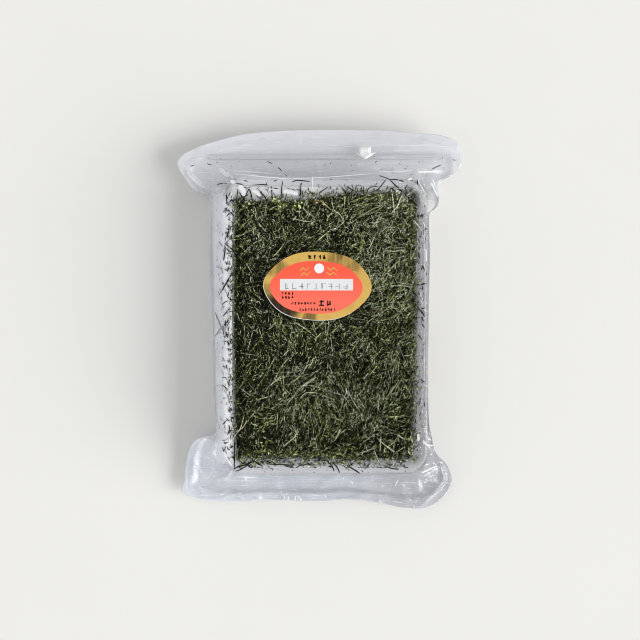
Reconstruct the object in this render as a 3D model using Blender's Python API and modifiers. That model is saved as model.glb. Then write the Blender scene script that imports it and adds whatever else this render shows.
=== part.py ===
"""A sealed clear pouch that holds a clear tray of shredded nori, lying flat on its back.

Metres, +Z up. X runs across the pouch and Y along it, towards the zip end. The origin is at the
bottom centre of the whole pack's box, on the surface that it lies on.
"""

import math
import random

import bmesh
import bpy
from mathutils import Matrix, Vector

# Pouch: a front and a back web of film, welded to each other round their edges
FILM = 0.0005
WELD_GAP = 0.0003
SEAM_HEIGHT_SIDE = 0.0190
SEAM_HEIGHT_HEAD = 0.0170
SEAM_HEIGHT_FOOT = 0.0080
SIDE_ENDS_AT = 0.0700
HEAD_STARTS_AT = 0.1080
FOOT_STARTS_AT = -0.1180
FRONT_CROWN = 0.0379
BACK_CROWN = FILM
SIDE_BULGE = 0.45
SIDE_REACH = 0.012
END_REACH = 0.030
END_WELD_SHARE = 0.13
END_OPEN_SHARE = 0.27
END_RISE_SHARE = 0.45
END_ROOM = 0.0024
WEB_COLUMNS = 94
WEB_RINGS = (0.0, 0.13, 0.27, 0.45, 0.64, 0.82, 1.0)

# The pouch's outline seen from above, anticlockwise from the left of its head
OUTLINE = (
    (-0.1060, 0.1203), (-0.1064, 0.1160), (-0.1043, 0.1115), (-0.1007, 0.1062),
    (-0.0964, 0.0999), (-0.0907, 0.0958), (-0.0833, 0.0936), (-0.0820, 0.0841),
    (-0.0826, 0.0601), (-0.0820, 0.0339), (-0.0806, 0.0076), (-0.0796, -0.0224),
    (-0.0789, -0.0486), (-0.0778, -0.0711), (-0.0772, -0.0824), (-0.0814, -0.0872),
    (-0.0896, -0.0885), (-0.0953, -0.0925), (-0.0990, -0.0994), (-0.1013, -0.1094),
    (-0.1031, -0.1229), (-0.1034, -0.1310), (-0.0956, -0.1344), (-0.0791, -0.1374),
    (-0.0611, -0.1379), (-0.0431, -0.1364), (-0.0011, -0.1376), (0.0191, -0.1362),
    (0.0349, -0.1371), (0.0499, -0.1398), (0.0634, -0.1424), (0.0749, -0.1431),
    (0.0829, -0.1419), (0.0916, -0.1368), (0.0974, -0.1305), (0.1008, -0.1232),
    (0.0996, -0.1164), (0.0963, -0.1096), (0.0892, -0.1023), (0.0865, -0.0970),
    (0.0840, -0.0869), (0.0815, -0.0734), (0.0805, -0.0374), (0.0811, -0.0074),
    (0.0816, 0.0226), (0.0824, 0.0481), (0.0817, 0.0676), (0.0821, 0.0796),
    (0.0853, 0.0825), (0.0889, 0.0865), (0.0895, 0.0912), (0.0885, 0.0972),
    (0.0886, 0.1018), (0.0919, 0.1059), (0.1016, 0.1106), (0.1061, 0.1156),
    (0.1064, 0.1233), (0.1052, 0.1299), (0.1020, 0.1342), (0.0964, 0.1372),
    (0.0882, 0.1392), (0.0682, 0.1407), (0.0447, 0.1428), (0.0079, 0.1432),
    (-0.0203, 0.1428), (-0.0433, 0.1413), (-0.0586, 0.1394), (-0.0739, 0.1356),
    (-0.0892, 0.1310), (-0.1006, 0.1256),
)

# Tray: an open box with sloping walls, a stacking ledge and a turned-down rim
TRAY_CENTRE = Vector((0.0044, -0.0043))
TRAY_RIM_WIDTH = 0.1490
TRAY_RIM_LENGTH = 0.2138
TRAY_FLOOR_WIDTH = 0.1300
TRAY_FLOOR_LENGTH = 0.1948
TRAY_RIM_BAND = 0.0045
TRAY_LIP_DROP = 0.0025
TRAY_CORNER = 0.0115
TRAY_WALL = 0.0008
TRAY_UNDERSIDE = 0.0008
TRAY_TOP = 0.0360
TRAY_LEDGE_HEIGHT = 0.0240
TRAY_LEDGE = 0.0012
TRAY_FLOOR_BEND = 0.0030
CORNER_STEPS = 5

# Where the webs leave the tray's rim and its floor: width, length and corner of each
RIM_SUPPORT = (0.1502, 0.2150, 0.0160)
FLOOR_SUPPORT = (0.1330, 0.1978, 0.0115)

# Nori: a packed bed with shreds standing out of it on every side
BED_BOTTOM = 0.0036
BED_TOP = 0.0328
BED_TOP_WIDTH = 0.1250
BED_TOP_LENGTH = 0.1850
BED_FLOOR_WIDTH = 0.1170
BED_FLOOR_LENGTH = 0.1770
BED_CORNER = 0.0090
BED_SHIFT_Y = -0.0013
SHRED_RADIUS = 0.00095
SHRED_SHORTEST = 0.016
SHRED_LONGEST = 0.034
SHRED_OVERHANG = 0.0047
SHRED_HOLD = 0.0010
GRAIN_MIDDLE_DEG = 70
GRAIN_SWING_DEG = 34
SHRED_SCATTER_DEG = 14
SHRED_SEED = 53
TOP_SHREDS = (11, 24)
TOP_TILT_DEG = 6.0
TOP_SUNK = (-0.0009, 0.0001)
SIDE_SHREDS = 100
SIDE_TILT_DEG = 8.0
SIDE_SUNK = (-0.0008, 0.0)
BASE_SHREDS = (7, 11)
BASE_TILT_DEG = 0.8
BASE_SUNK = (-0.0004, 0.0001)

# Label: an oval sticker on the front film
LABEL_CENTRE = (-0.0017, 0.0250)
LABEL_WIDTH = 0.0785
LABEL_HEIGHT = 0.0506
LABEL_THICKNESS = 0.0005
LABEL_GAP = 0.0003
LABEL_POINTS = 48

# Press-to-close zip across the head: a tongue on the front web, a channel on the back web
ZIP_Y = 0.1222
ZIP_LEFT = -0.0820
ZIP_RIGHT = 0.0920
ZIP_HALF_WIDTH = 0.0014
ZIP_SLOT_HALF_WIDTH = 0.0008
ZIP_TONGUE_HALF_WIDTH = 0.00045
CHANNEL_BOTTOM = -0.0011
CHANNEL_FLOOR = -0.0006
CHANNEL_TOP = 0.0001
TONGUE_TIP = -0.00025
TONGUE_ROOT = 0.00045
TONGUE_TOP = 0.00095


def smoothstep(low, high, value):
    """0 below low, 1 above high, and a smooth rise between them."""
    share = min(1.0, max(0.0, (value - low) / (high - low)))
    return share * share * (3 - 2 * share)


def material(name, colour, roughness, metallic=0.0, alpha=1.0):
    """A Principled material."""
    made = bpy.data.materials.new(name)
    made.use_nodes = True
    shader = made.node_tree.nodes["Principled BSDF"]
    shader.inputs["Base Color"].default_value = (*colour, 1)
    shader.inputs["Roughness"].default_value = roughness
    shader.inputs["Metallic"].default_value = metallic
    shader.inputs["Alpha"].default_value = alpha
    return made


def add_object(name, mesh, finish, collection):
    """Links a mesh to the scene as an object with its material."""
    mesh.materials.clear()
    mesh.materials.append(finish)
    made = bpy.data.objects.new(name, mesh)
    collection.objects.link(made)
    return made


def mesh_of(shape, name):
    """Closes a bmesh and returns it as a mesh."""
    mesh = bpy.data.meshes.new(name)
    shape.to_mesh(mesh)
    shape.free()
    return mesh


def loft(rings, name, close_last=False):
    """A surface through rings of equally many points, with a flat face in the first ring.

    Rings that run anticlockwise, each above the last, give faces that look out and down.
    """
    shape = bmesh.new()
    rows = [[shape.verts.new(point) for point in ring] for ring in rings]
    shape.faces.new(reversed(rows[0]))
    for lower, upper in zip(rows, rows[1:]):
        for i in range(len(lower)):
            j = (i + 1) % len(lower)
            shape.faces.new((lower[i], lower[j], upper[j], upper[i]))
    if close_last:
        shape.faces.new(rows[-1])
    return mesh_of(shape, name)


def rounded_rectangle(width, length, corner, centre, height):
    """Points of a rounded rectangle, anticlockwise, with the same number at every size."""
    points = []
    for quarter in range(4):
        side_x = 1 if quarter in (0, 3) else -1
        side_y = 1 if quarter in (0, 1) else -1
        middle = Vector((side_x * (width / 2 - corner), side_y * (length / 2 - corner)))
        for step in range(CORNER_STEPS + 1):
            turn = math.radians(90 * (quarter + step / CORNER_STEPS))
            spot = centre + middle + corner * Vector((math.cos(turn), math.sin(turn)))
            points.append((spot.x, spot.y, height))
    return points


def nearest_on_rectangle(spot, width, length, corner, centre):
    """The point of a rounded rectangle nearest to a spot outside it."""
    away = spot - centre
    limit_x = width / 2 - corner
    limit_y = length / 2 - corner
    inner = Vector((max(-limit_x, min(limit_x, away.x)), max(-limit_y, min(limit_y, away.y))))
    return centre + inner + (away - inner).normalized() * corner


def smooth_outline(points, count):
    """Evenly spaced points on a closed smooth curve through the given ones."""
    fine = []
    total = len(points)
    steps = 12
    for i in range(total):
        a, b, c, d = (Vector(points[(i + k) % total]) for k in (-1, 0, 1, 2))
        for step in range(steps):
            t = step / steps
            fine.append(
                0.5 * (2 * b + (c - a) * t + (2 * a - 5 * b + 4 * c - d) * t**2
                       + (3 * b - a - 3 * c + d) * t**3)
            )
    lengths = [(fine[(i + 1) % len(fine)] - fine[i]).length for i in range(len(fine))]
    spacing = sum(lengths) / count
    even, walked, wanted = [], 0.0, 0.0
    for i, length in enumerate(lengths):
        while wanted < walked + length and len(even) < count:
            share = (wanted - walked) / length
            even.append(fine[i].lerp(fine[(i + 1) % len(fine)], share))
            wanted += spacing
        walked += length
    return even


def seam_height(y):
    """Height of the weld between the webs at a place along the pouch."""
    to_head = smoothstep(SIDE_ENDS_AT, HEAD_STARTS_AT, y)
    to_foot = smoothstep(SIDE_ENDS_AT, -FOOT_STARTS_AT, -y)
    rise_head = (SEAM_HEIGHT_HEAD - SEAM_HEIGHT_SIDE) * to_head
    rise_foot = (SEAM_HEIGHT_FOOT - SEAM_HEIGHT_SIDE) * to_foot
    return SEAM_HEIGHT_SIDE + rise_head + rise_foot


def web_rise(share, at_end):
    """How far a web has left the weld for its support: a bulge at the sides, a late rise at the ends."""
    late = smoothstep(END_RISE_SHARE, 1.0, share)
    bulged = share**SIDE_BULGE
    return bulged + (late - bulged) * at_end


def film_web(name, crown, support, side, finish, collection):
    """One web of the pouch, from the weld round its edge to its flat part on the tray.

    support is the width, length and corner of the rounded rectangle where the flat part begins.
    side is 1 for the front web, over the tray's rim, and -1 for the back web, under its floor.
    """
    rings = []
    edge = smooth_outline(OUTLINE, WEB_COLUMNS)
    for share in reversed(WEB_RINGS):
        ring = []
        opened = smoothstep(END_WELD_SHARE, END_OPEN_SHARE, share)
        closing = smoothstep(END_RISE_SHARE, 1.0, share)
        room = END_ROOM * opened * (1 - closing)
        for spot in edge:
            reach = (spot - nearest_on_rectangle(spot, *RIM_SUPPORT, TRAY_CENTRE)).length
            at_end = smoothstep(SIDE_REACH, END_REACH, reach)
            place = spot.lerp(nearest_on_rectangle(spot, *support, TRAY_CENTRE), share)
            start = seam_height(spot.y) + side * WELD_GAP / 2
            height = start + (crown - start) * web_rise(share, at_end) + side * room * at_end
            ring.append((place.x, place.y, height))
        rings.append(ring)
    web = add_object(name, loft(rings, name), finish, collection)
    thickness = web.modifiers.new("Film", "SOLIDIFY")
    thickness.thickness = FILM
    thickness.offset = -side
    return web


def make_tray(finish, collection):
    """The clear tray: floor, sloping walls with a stacking ledge, flat rim and turned-down lip."""
    ledge_share = TRAY_LEDGE_HEIGHT / TRAY_TOP
    inner_width = TRAY_RIM_WIDTH - 2 * TRAY_RIM_BAND
    inner_length = TRAY_RIM_LENGTH - 2 * TRAY_RIM_BAND
    grow = (inner_width - TRAY_FLOOR_WIDTH) * ledge_share
    below = (TRAY_FLOOR_WIDTH + grow - TRAY_LEDGE, TRAY_FLOOR_LENGTH + grow - TRAY_LEDGE)
    above = (below[0] + 2 * TRAY_LEDGE, below[1] + 2 * TRAY_LEDGE)
    lip_width = TRAY_RIM_WIDTH - 2 * TRAY_WALL
    lip_length = TRAY_RIM_LENGTH - 2 * TRAY_WALL
    rim_underside = TRAY_TOP - TRAY_WALL
    bend = TRAY_FLOOR_BEND
    sizes = (
        (TRAY_FLOOR_WIDTH - 2 * bend, TRAY_FLOOR_LENGTH - 2 * bend, TRAY_CORNER - bend, TRAY_UNDERSIDE),
        (TRAY_FLOOR_WIDTH - bend / 2, TRAY_FLOOR_LENGTH - bend / 2, TRAY_CORNER - bend / 4,
         TRAY_UNDERSIDE + bend / 4),
        (TRAY_FLOOR_WIDTH, TRAY_FLOOR_LENGTH, TRAY_CORNER, TRAY_UNDERSIDE + bend),
        (*below, TRAY_CORNER, TRAY_LEDGE_HEIGHT),
        (*above, TRAY_CORNER, TRAY_LEDGE_HEIGHT + TRAY_LEDGE),
        (inner_width, inner_length, TRAY_CORNER, rim_underside),
        (lip_width, lip_length, TRAY_CORNER + TRAY_RIM_BAND - TRAY_WALL, rim_underside),
        (lip_width, lip_length, TRAY_CORNER + TRAY_RIM_BAND - TRAY_WALL, TRAY_TOP - TRAY_LIP_DROP),
    )
    rings = [
        rounded_rectangle(width, length, corner, TRAY_CENTRE, height)
        for width, length, corner, height in sizes
    ]
    tray = add_object("tray", loft(rings, "tray"), finish, collection)
    wall = tray.modifiers.new("Wall", "SOLIDIFY")
    wall.thickness = TRAY_WALL
    wall.offset = -1.0
    return tray


def shred_mesh(length, place, along, up, sunk):
    """A straight three-sided shred with its ridge up and its flat side sunk into the bed."""
    shape = bmesh.new()
    bmesh.ops.create_cone(
        shape, cap_ends=True, segments=3, radius1=SHRED_RADIUS, radius2=SHRED_RADIUS, depth=length
    )
    across = up.cross(along).normalized()
    lift = along.cross(across).normalized()
    turn = Matrix((across, lift, along)).transposed().to_4x4()
    origin = place - lift * sunk
    bmesh.ops.transform(shape, matrix=Matrix.Translation(origin) @ turn, verts=shape.verts)
    return mesh_of(shape, "shred")


def bed_half_size(height):
    """Half the bed's width and length at a height."""
    share = (height - BED_BOTTOM) / (BED_TOP - BED_BOTTOM)
    width = BED_FLOOR_WIDTH + (BED_TOP_WIDTH - BED_FLOOR_WIDTH) * share
    length = BED_FLOOR_LENGTH + (BED_TOP_LENGTH - BED_FLOOR_LENGTH) * share
    return width / 2, length / 2


def grain(x, y):
    """Main direction of the shreds at a place, which turns slowly across the bed."""
    drift = math.sin(33 * x + 1.3) + math.sin(26 * y + 0.8) + math.sin(24 * (x + y))
    return math.radians(GRAIN_MIDDLE_DEG + GRAIN_SWING_DEG * drift)


def kept_on_bed(place, half_size, reach):
    """A shred's middle moved so that it lies on the bed and its ends stick out only so far."""
    limit = half_size + min(-SHRED_HOLD, SHRED_OVERHANG - reach)
    return max(-limit, min(limit, place))


def face_shreds(grid, height, up, tilt_limit, sunk, draw, centre):
    """Shreds on the flat top or underside of the bed, one to each cell of a grid, drawn unevenly."""
    half_x, half_y = bed_half_size(height)
    columns, rows = grid
    made = []
    for column in range(columns):
        for row in range(rows):
            x = (2 * (column + draw.uniform(0.05, 0.95)) / columns - 1) * half_x
            y = (2 * (row + draw.uniform(0.05, 0.95)) / rows - 1) * half_y
            length = draw.uniform(SHRED_SHORTEST, SHRED_LONGEST)
            turn = grain(x, y) + draw.gauss(0, math.radians(SHRED_SCATTER_DEG))
            tilt = math.radians(draw.uniform(-tilt_limit, tilt_limit))
            along = Vector((math.cos(turn), math.sin(turn), math.tan(tilt))).normalized()
            x = kept_on_bed(x, half_x, abs(along.x) * length / 2)
            y = kept_on_bed(y, half_y, abs(along.y) * length / 2)
            place = Vector((centre.x + x, centre.y + y, height))
            made.append(shred_mesh(length, place, along, up, draw.uniform(*sunk)))
    return made


def side_shreds(count, draw, centre):
    """Shreds against the four sloping sides of the bed, as they press against the tray."""
    made = []
    walls = []
    for outward in (Vector((1, 0, 0)), Vector((0, 1, 0)), Vector((-1, 0, 0)), Vector((0, -1, 0))):
        walls.append((outward, BED_TOP_LENGTH if outward.x else BED_TOP_WIDTH))
    girth = sum(width for _, width in walls)
    for outward, width in walls:
        number = round(count * width / girth)
        for i in range(number):
            length = draw.uniform(SHRED_SHORTEST, 0.026)
            lean = math.radians(draw.choice((-1, 1)) * draw.uniform(4, 48))
            reach_up = abs(math.sin(lean)) * length / 2
            low = BED_BOTTOM + 0.0030 + reach_up
            height = draw.uniform(low, max(low, BED_TOP - 0.0025 - reach_up))
            half_x, half_y = bed_half_size(height)
            out = half_x if outward.x else half_y
            room = width / 2 - 0.004 - abs(math.cos(lean)) * length / 2
            slide = (2 * (i + draw.uniform(0.1, 0.9)) / number - 1) * room
            slope = (BED_TOP_WIDTH - BED_FLOOR_WIDTH) / 2 / (BED_TOP - BED_BOTTOM)
            upward = (Vector((0, 0, 1)) + outward * slope).normalized()
            sideways = Vector((0, 0, 1)).cross(outward)
            up = upward.cross(sideways)
            up = up if up.dot(outward) > 0 else -up
            tilt = math.radians(draw.uniform(-SIDE_TILT_DEG, SIDE_TILT_DEG))
            along = sideways * math.cos(lean) + upward * math.sin(lean) + up * math.tan(tilt)
            along.normalize()
            place = Vector((centre.x, centre.y, height)) + outward * out + sideways * slide
            made.append(shred_mesh(length, place, along, up, draw.uniform(*SIDE_SUNK)))
    return made


def keep_largest_island(mesh):
    """Drops the tiny pockets that crossing shreds close in between them."""
    shape = bmesh.new()
    shape.from_mesh(mesh)
    shape.faces.ensure_lookup_table()
    islands, seen = [], set()
    for first in shape.faces:
        if first in seen:
            continue
        seen.add(first)
        island, waiting = [], [first]
        while waiting:
            face = waiting.pop()
            island.append(face)
            for edge in face.edges:
                for other in edge.link_faces:
                    if other not in seen:
                        seen.add(other)
                        waiting.append(other)
        islands.append(island)
    islands.sort(key=len)
    for island in islands[:-1]:
        bmesh.ops.delete(shape, geom=island, context="FACES")
    shape.to_mesh(mesh)
    shape.free()


def make_nori(finish, collection):
    """The bed of nori and its shreds, joined into one body."""
    centre = TRAY_CENTRE + Vector((0, BED_SHIFT_Y))
    rings = [
        rounded_rectangle(BED_FLOOR_WIDTH, BED_FLOOR_LENGTH, BED_CORNER, centre, BED_BOTTOM),
        rounded_rectangle(BED_TOP_WIDTH, BED_TOP_LENGTH, BED_CORNER, centre, BED_TOP),
    ]
    bed = add_object("shredded_nori", loft(rings, "bed", close_last=True), finish, collection)
    draw = random.Random(SHRED_SEED)
    up = Vector((0, 0, 1))
    meshes = face_shreds(TOP_SHREDS, BED_TOP, up, TOP_TILT_DEG, TOP_SUNK, draw, centre)
    meshes += side_shreds(SIDE_SHREDS, draw, centre)
    meshes += face_shreds(BASE_SHREDS, BED_BOTTOM, -up, BASE_TILT_DEG, BASE_SUNK, draw, centre)
    loose = bpy.data.collections.new("loose_shreds")
    bpy.context.scene.collection.children.link(loose)
    for mesh in meshes:
        add_object("shred", mesh, finish, loose)
    join = bed.modifiers.new("Join shreds", "BOOLEAN")
    join.operation = "UNION"
    join.operand_type = "COLLECTION"
    join.collection = loose
    join.solver = "MANIFOLD"
    graph = bpy.context.evaluated_depsgraph_get()
    joined = bpy.data.meshes.new_from_object(bed.evaluated_get(graph))
    bed.modifiers.clear()
    bed.data = joined
    for shred in list(loose.objects):
        bpy.data.objects.remove(shred)
    bpy.data.collections.remove(loose)
    keep_largest_island(joined)
    return bed


def make_label(finish, collection):
    """The sticker: an oval with a gently lobed edge, flat on the front film."""
    points = []
    for i in range(LABEL_POINTS):
        turn = 2 * math.pi * i / LABEL_POINTS
        lobe = 1 + 0.012 * math.cos(6 * turn + 0.6)
        points.append((lobe * LABEL_WIDTH / 2 * math.cos(turn), lobe * LABEL_HEIGHT / 2 * math.sin(turn)))
    outline = bpy.data.curves.new("label", "CURVE")
    outline.dimensions = "2D"
    outline.fill_mode = "BOTH"
    outline.extrude = LABEL_THICKNESS / 2
    spline = outline.splines.new("POLY")
    spline.points.add(len(points) - 1)
    for point, (x, y) in zip(spline.points, points):
        point.co = (x, y, 0, 1)
    spline.use_cyclic_u = True
    label = bpy.data.objects.new("label", outline)
    outline.materials.append(finish)
    height = FRONT_CROWN + FILM + LABEL_GAP + LABEL_THICKNESS / 2
    label.location = (*LABEL_CENTRE, height)
    collection.objects.link(label)
    return label


def make_zip_strip(name, section, finish, collection):
    """A straight strip across the head with the given section, as (y, z) points about the weld."""
    rings = [
        [(x, ZIP_Y + y, SEAM_HEIGHT_HEAD + z) for y, z in section]
        for x in (ZIP_LEFT, ZIP_RIGHT)
    ]
    return add_object(name, loft(rings, name, close_last=True), finish, collection)


def make_zip(finish, collection):
    """The tongue and the channel of the press-to-close zip."""
    half, slot, tongue = ZIP_HALF_WIDTH, ZIP_SLOT_HALF_WIDTH, ZIP_TONGUE_HALF_WIDTH
    channel = (
        (-half, CHANNEL_BOTTOM), (half, CHANNEL_BOTTOM), (half, CHANNEL_TOP), (slot, CHANNEL_TOP),
        (slot, CHANNEL_FLOOR), (-slot, CHANNEL_FLOOR), (-slot, CHANNEL_TOP), (-half, CHANNEL_TOP),
    )
    ridge = (
        (-half, TONGUE_TOP), (-half, TONGUE_ROOT), (-tongue, TONGUE_ROOT), (-tongue, TONGUE_TIP),
        (tongue, TONGUE_TIP), (tongue, TONGUE_ROOT), (half, TONGUE_ROOT), (half, TONGUE_TOP),
    )
    make_zip_strip("zip_channel", channel, finish, collection)
    make_zip_strip("zip_tongue", ridge, finish, collection)


def main():
    for old in list(bpy.data.objects):
        bpy.data.objects.remove(old)
    pack = bpy.data.collections.new("shredded_nori_pack")
    bpy.context.scene.collection.children.link(pack)

    film = material("clear film", (0.86, 0.87, 0.92), 0.18, alpha=0.30)
    clear = material("clear tray plastic", (0.92, 0.93, 0.94), 0.12, alpha=0.35)
    nori = material("dried nori", (0.035, 0.055, 0.022), 0.38)
    foil = material("label foil", (0.80, 0.58, 0.22), 0.28, metallic=0.9)

    film_web("pouch_front_film", FRONT_CROWN, RIM_SUPPORT, 1, film, pack)
    film_web("pouch_back_film", BACK_CROWN, FLOOR_SUPPORT, -1, film, pack)
    make_zip(film, pack)
    make_tray(clear, pack)
    make_nori(nori, pack)
    make_label(foil, pack)


main()
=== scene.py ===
import math

import bpy
import numpy as np
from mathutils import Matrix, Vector
from mathutils.bvhtree import BVHTree


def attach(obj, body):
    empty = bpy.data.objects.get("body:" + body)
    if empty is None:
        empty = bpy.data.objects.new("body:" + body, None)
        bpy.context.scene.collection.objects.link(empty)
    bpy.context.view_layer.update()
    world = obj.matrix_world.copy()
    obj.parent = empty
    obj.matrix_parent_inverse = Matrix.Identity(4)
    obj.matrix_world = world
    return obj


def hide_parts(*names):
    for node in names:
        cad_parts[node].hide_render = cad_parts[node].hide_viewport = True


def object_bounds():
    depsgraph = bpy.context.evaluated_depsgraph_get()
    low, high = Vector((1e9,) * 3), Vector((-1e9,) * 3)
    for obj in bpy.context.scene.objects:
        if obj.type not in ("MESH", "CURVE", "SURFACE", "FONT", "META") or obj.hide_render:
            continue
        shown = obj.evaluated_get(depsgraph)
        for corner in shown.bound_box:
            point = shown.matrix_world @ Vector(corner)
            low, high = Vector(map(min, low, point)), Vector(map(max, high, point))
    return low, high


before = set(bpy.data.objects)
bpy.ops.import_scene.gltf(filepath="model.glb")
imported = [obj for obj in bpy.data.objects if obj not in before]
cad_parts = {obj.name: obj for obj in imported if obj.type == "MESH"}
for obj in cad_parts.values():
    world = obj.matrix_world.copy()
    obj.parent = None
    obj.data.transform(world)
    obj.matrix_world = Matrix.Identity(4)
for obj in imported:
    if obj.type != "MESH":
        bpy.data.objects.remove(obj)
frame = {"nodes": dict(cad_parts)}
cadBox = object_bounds()
print("Frame loaded:", ", ".join(frame["nodes"]))

# The camera looks straight down. seenAt gives the place, at a height, of a spot in its 640 by 640 picture.
camera = {"x": 0.0004, "y": 0.0001, "height": 0.768, "lens": 56.25, "sensor": 36.0, "picture": 640}


def seenAt(column, row, height):
    scale = (camera["height"] - height) * camera["sensor"] / camera["lens"] / camera["picture"]
    middle = camera["picture"] / 2
    return camera["x"] + (column - middle) * scale, camera["y"] + (middle - row) * scale


# Numbers that vary smoothly from place to place

def smoothStep(low, high, value):
    share = np.clip((value - low) / (high - low), 0, 1)
    return share * share * (3 - 2 * share)


def softNoise(x, y, cell, seed):
    # Noise between -1 and 1 on a lattice with cells of this size
    lattice = np.random.default_rng(seed).uniform(-1, 1, (64, 64))
    u, v = np.asarray(x) / cell + 200.5, np.asarray(y) / cell + 200.5
    column, row = np.floor(u).astype(int), np.floor(v).astype(int)
    shareU, shareV = u - column, v - row
    shareU, shareV = shareU**2 * (3 - 2 * shareU), shareV**2 * (3 - 2 * shareV)
    near = lattice[column % 64, row % 64] * (1 - shareU) + lattice[(column + 1) % 64, row % 64] * shareU
    nextRow = (row + 1) % 64
    far = lattice[column % 64, nextRow] * (1 - shareU) + lattice[(column + 1) % 64, nextRow] * shareU
    return near * (1 - shareV) + far * shareV


def creaseNoise(x, y, cell, seed):
    # Sharp ridges between soft hollows, as in crumpled film: 0 to 1
    return (1 - np.abs(softNoise(x, y, cell, seed)) * 1.6).clip(0, 1) ** 3


# Meshes from arrays

def meshPiece(name, points, faceSets, tags=None, smooth=True):
    # faceSets holds arrays of faces with like numbers of corners. The materials read the tags, which are
    # numbers on the points.
    mesh = bpy.data.meshes.new(name)
    loops = np.concatenate([faces.ravel() for faces in faceSets])
    sizes = np.concatenate([np.full(len(faces), faces.shape[1]) for faces in faceSets])
    mesh.vertices.add(len(points))
    mesh.vertices.foreach_set("co", np.ascontiguousarray(points, np.float32).ravel())
    mesh.loops.add(len(loops))
    mesh.loops.foreach_set("vertex_index", loops.astype(np.int32))
    mesh.polygons.add(len(sizes))
    mesh.polygons.foreach_set("loop_start", np.concatenate([[0], np.cumsum(sizes)[:-1]]).astype(np.int32))
    mesh.update(calc_edges=True)
    mesh.validate()
    for tag, values in (tags or {}).items():
        layer = mesh.attributes.new(tag, "FLOAT", "POINT")
        layer.data.foreach_set("value", np.ascontiguousarray(values, np.float32).ravel())
    if smooth:
        mesh.shade_smooth()
    else:
        mesh.shade_flat()
    piece = bpy.data.objects.new(name, mesh)
    bpy.context.scene.collection.objects.link(piece)
    return piece


def ringFaces(rings, columns):
    # Faces between anticlockwise rings, each above the last: they look outwards
    here = np.arange(columns)
    after = (here + 1) % columns
    rows = np.arange(rings - 1)[:, None] * columns
    quads = np.stack([rows + here, rows + after, rows + after + columns, rows + here + columns], -1)
    return quads.reshape(-1, 4)


def repeated(faces, offsets):
    # The same faces once for each offset of their point numbers
    return (faces[None] + offsets).reshape(-1, faces.shape[1])


def ringNormals(rings):
    around = np.roll(rings, -1, axis=1) - np.roll(rings, 1, axis=1)
    upward = np.gradient(rings, axis=0)
    normals = np.cross(around, upward)
    return normals / np.maximum(np.linalg.norm(normals, axis=2, keepdims=True), 1e-12)


def thinShell(name, outer, inner, tags=None, smooth=True):
    # A closed skin between two surfaces of rings that start at the middle and end at an open rim
    ringCount, columns = outer.shape[:2]
    faces = ringFaces(ringCount, columns)
    cap = np.arange(columns)[None, ::-1]
    total = ringCount * columns
    last = (ringCount - 1) * columns
    here = np.arange(columns)
    after = (here + 1) % columns
    rim = np.stack([last + here, last + after, total + last + after, total + last + here], -1)
    points = np.concatenate([outer.reshape(-1, 3), inner.reshape(-1, 3)])
    doubled = {tag: np.tile(values.ravel(), 2) for tag, values in (tags or {}).items()}
    sets = [faces, faces[:, ::-1] + total, rim, cap, cap[:, ::-1] + total]
    return meshPiece(name, points, sets, doubled, smooth)


def solidRings(name, rings, tags=None, smooth=True):
    # A closed solid through rings from its underside to its top
    ringCount, columns = rings.shape[:2]
    cap = np.arange(columns)[None, :]
    sets = [ringFaces(ringCount, columns), cap[:, ::-1], cap + (ringCount - 1) * columns]
    return meshPiece(name, rings.reshape(-1, 3), sets, tags, smooth)


def roundedRectangle(width, length, corner, centre, steps):
    # Points anticlockwise from the upper end of the right side, as many at every size
    quarter = np.arange(4)[:, None]
    turn = np.radians(90 * (quarter + np.linspace(0, 1, steps)[None, :]))
    sideX = np.where((quarter == 0) | (quarter == 3), 1, -1)
    sideY = np.where(quarter < 2, 1, -1)
    x = centre[0] + sideX * (width / 2 - corner) + corner * np.cos(turn)
    y = centre[1] + sideY * (length / 2 - corner) + corner * np.sin(turn)
    return np.stack([x.ravel(), y.ravel()], -1)


# Nodes for the materials

def feed(tree, socket, value):
    # A value sets a socket, and another node's socket is linked to it
    if isinstance(value, bpy.types.NodeSocket):
        tree.links.new(value, socket)
    else:
        socket.default_value = value


def addNode(tree, kind, inputs=None, **settings):
    node = tree.nodes.new(kind)
    for key, value in settings.items():
        setattr(node, key, value)
    for key, value in (inputs or {}).items():
        feed(tree, node.inputs[key], value)
    return node


def addMath(tree, operation, *values, clamp=False):
    node = addNode(tree, "ShaderNodeMath", dict(enumerate(values)), operation=operation, use_clamp=clamp)
    return node.outputs[0]


def addNoise(tree, place, scale, detail, distortion=0.0):
    inputs = {"Vector": place, "Scale": scale, "Detail": detail, "Distortion": distortion}
    return addNode(tree, "ShaderNodeTexNoise", inputs).outputs["Fac"]


def addMix(tree, factor, first, second, blend="MIX"):
    node = addNode(tree, "ShaderNodeMix", data_type="RGBA", blend_type=blend)
    feed(tree, node.inputs["Factor"], factor)
    for socket, colour in zip((node.inputs[6], node.inputs[7]), (first, second)):
        feed(tree, socket, (*colour, 1) if isinstance(colour, tuple) else colour)
    return node.outputs[2]


def addRamp(tree, value, stops):
    ramp = addNode(tree, "ShaderNodeValToRGB", {"Fac": value})
    elements = ramp.color_ramp.elements
    while len(elements) < len(stops):
        elements.new(0.5)
    for element, (position, colour) in zip(elements, stops):
        element.position = position
        element.color = (*colour, 1)
    return ramp.outputs["Color"]


def newGroup(name, inputs, outputs):
    # A group of nodes with named numbers in, each with its usual value, and named numbers out
    tree = bpy.data.node_groups.new(name, "ShaderNodeTree")
    for label, value in inputs.items():
        socket = tree.interface.new_socket(name=label, in_out="INPUT", socket_type="NodeSocketFloat")
        socket.default_value = value
    for label in outputs:
        tree.interface.new_socket(name=label, in_out="OUTPUT", socket_type="NodeSocketFloat")
    return tree, addNode(tree, "NodeGroupInput").outputs, addNode(tree, "NodeGroupOutput").inputs


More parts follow.
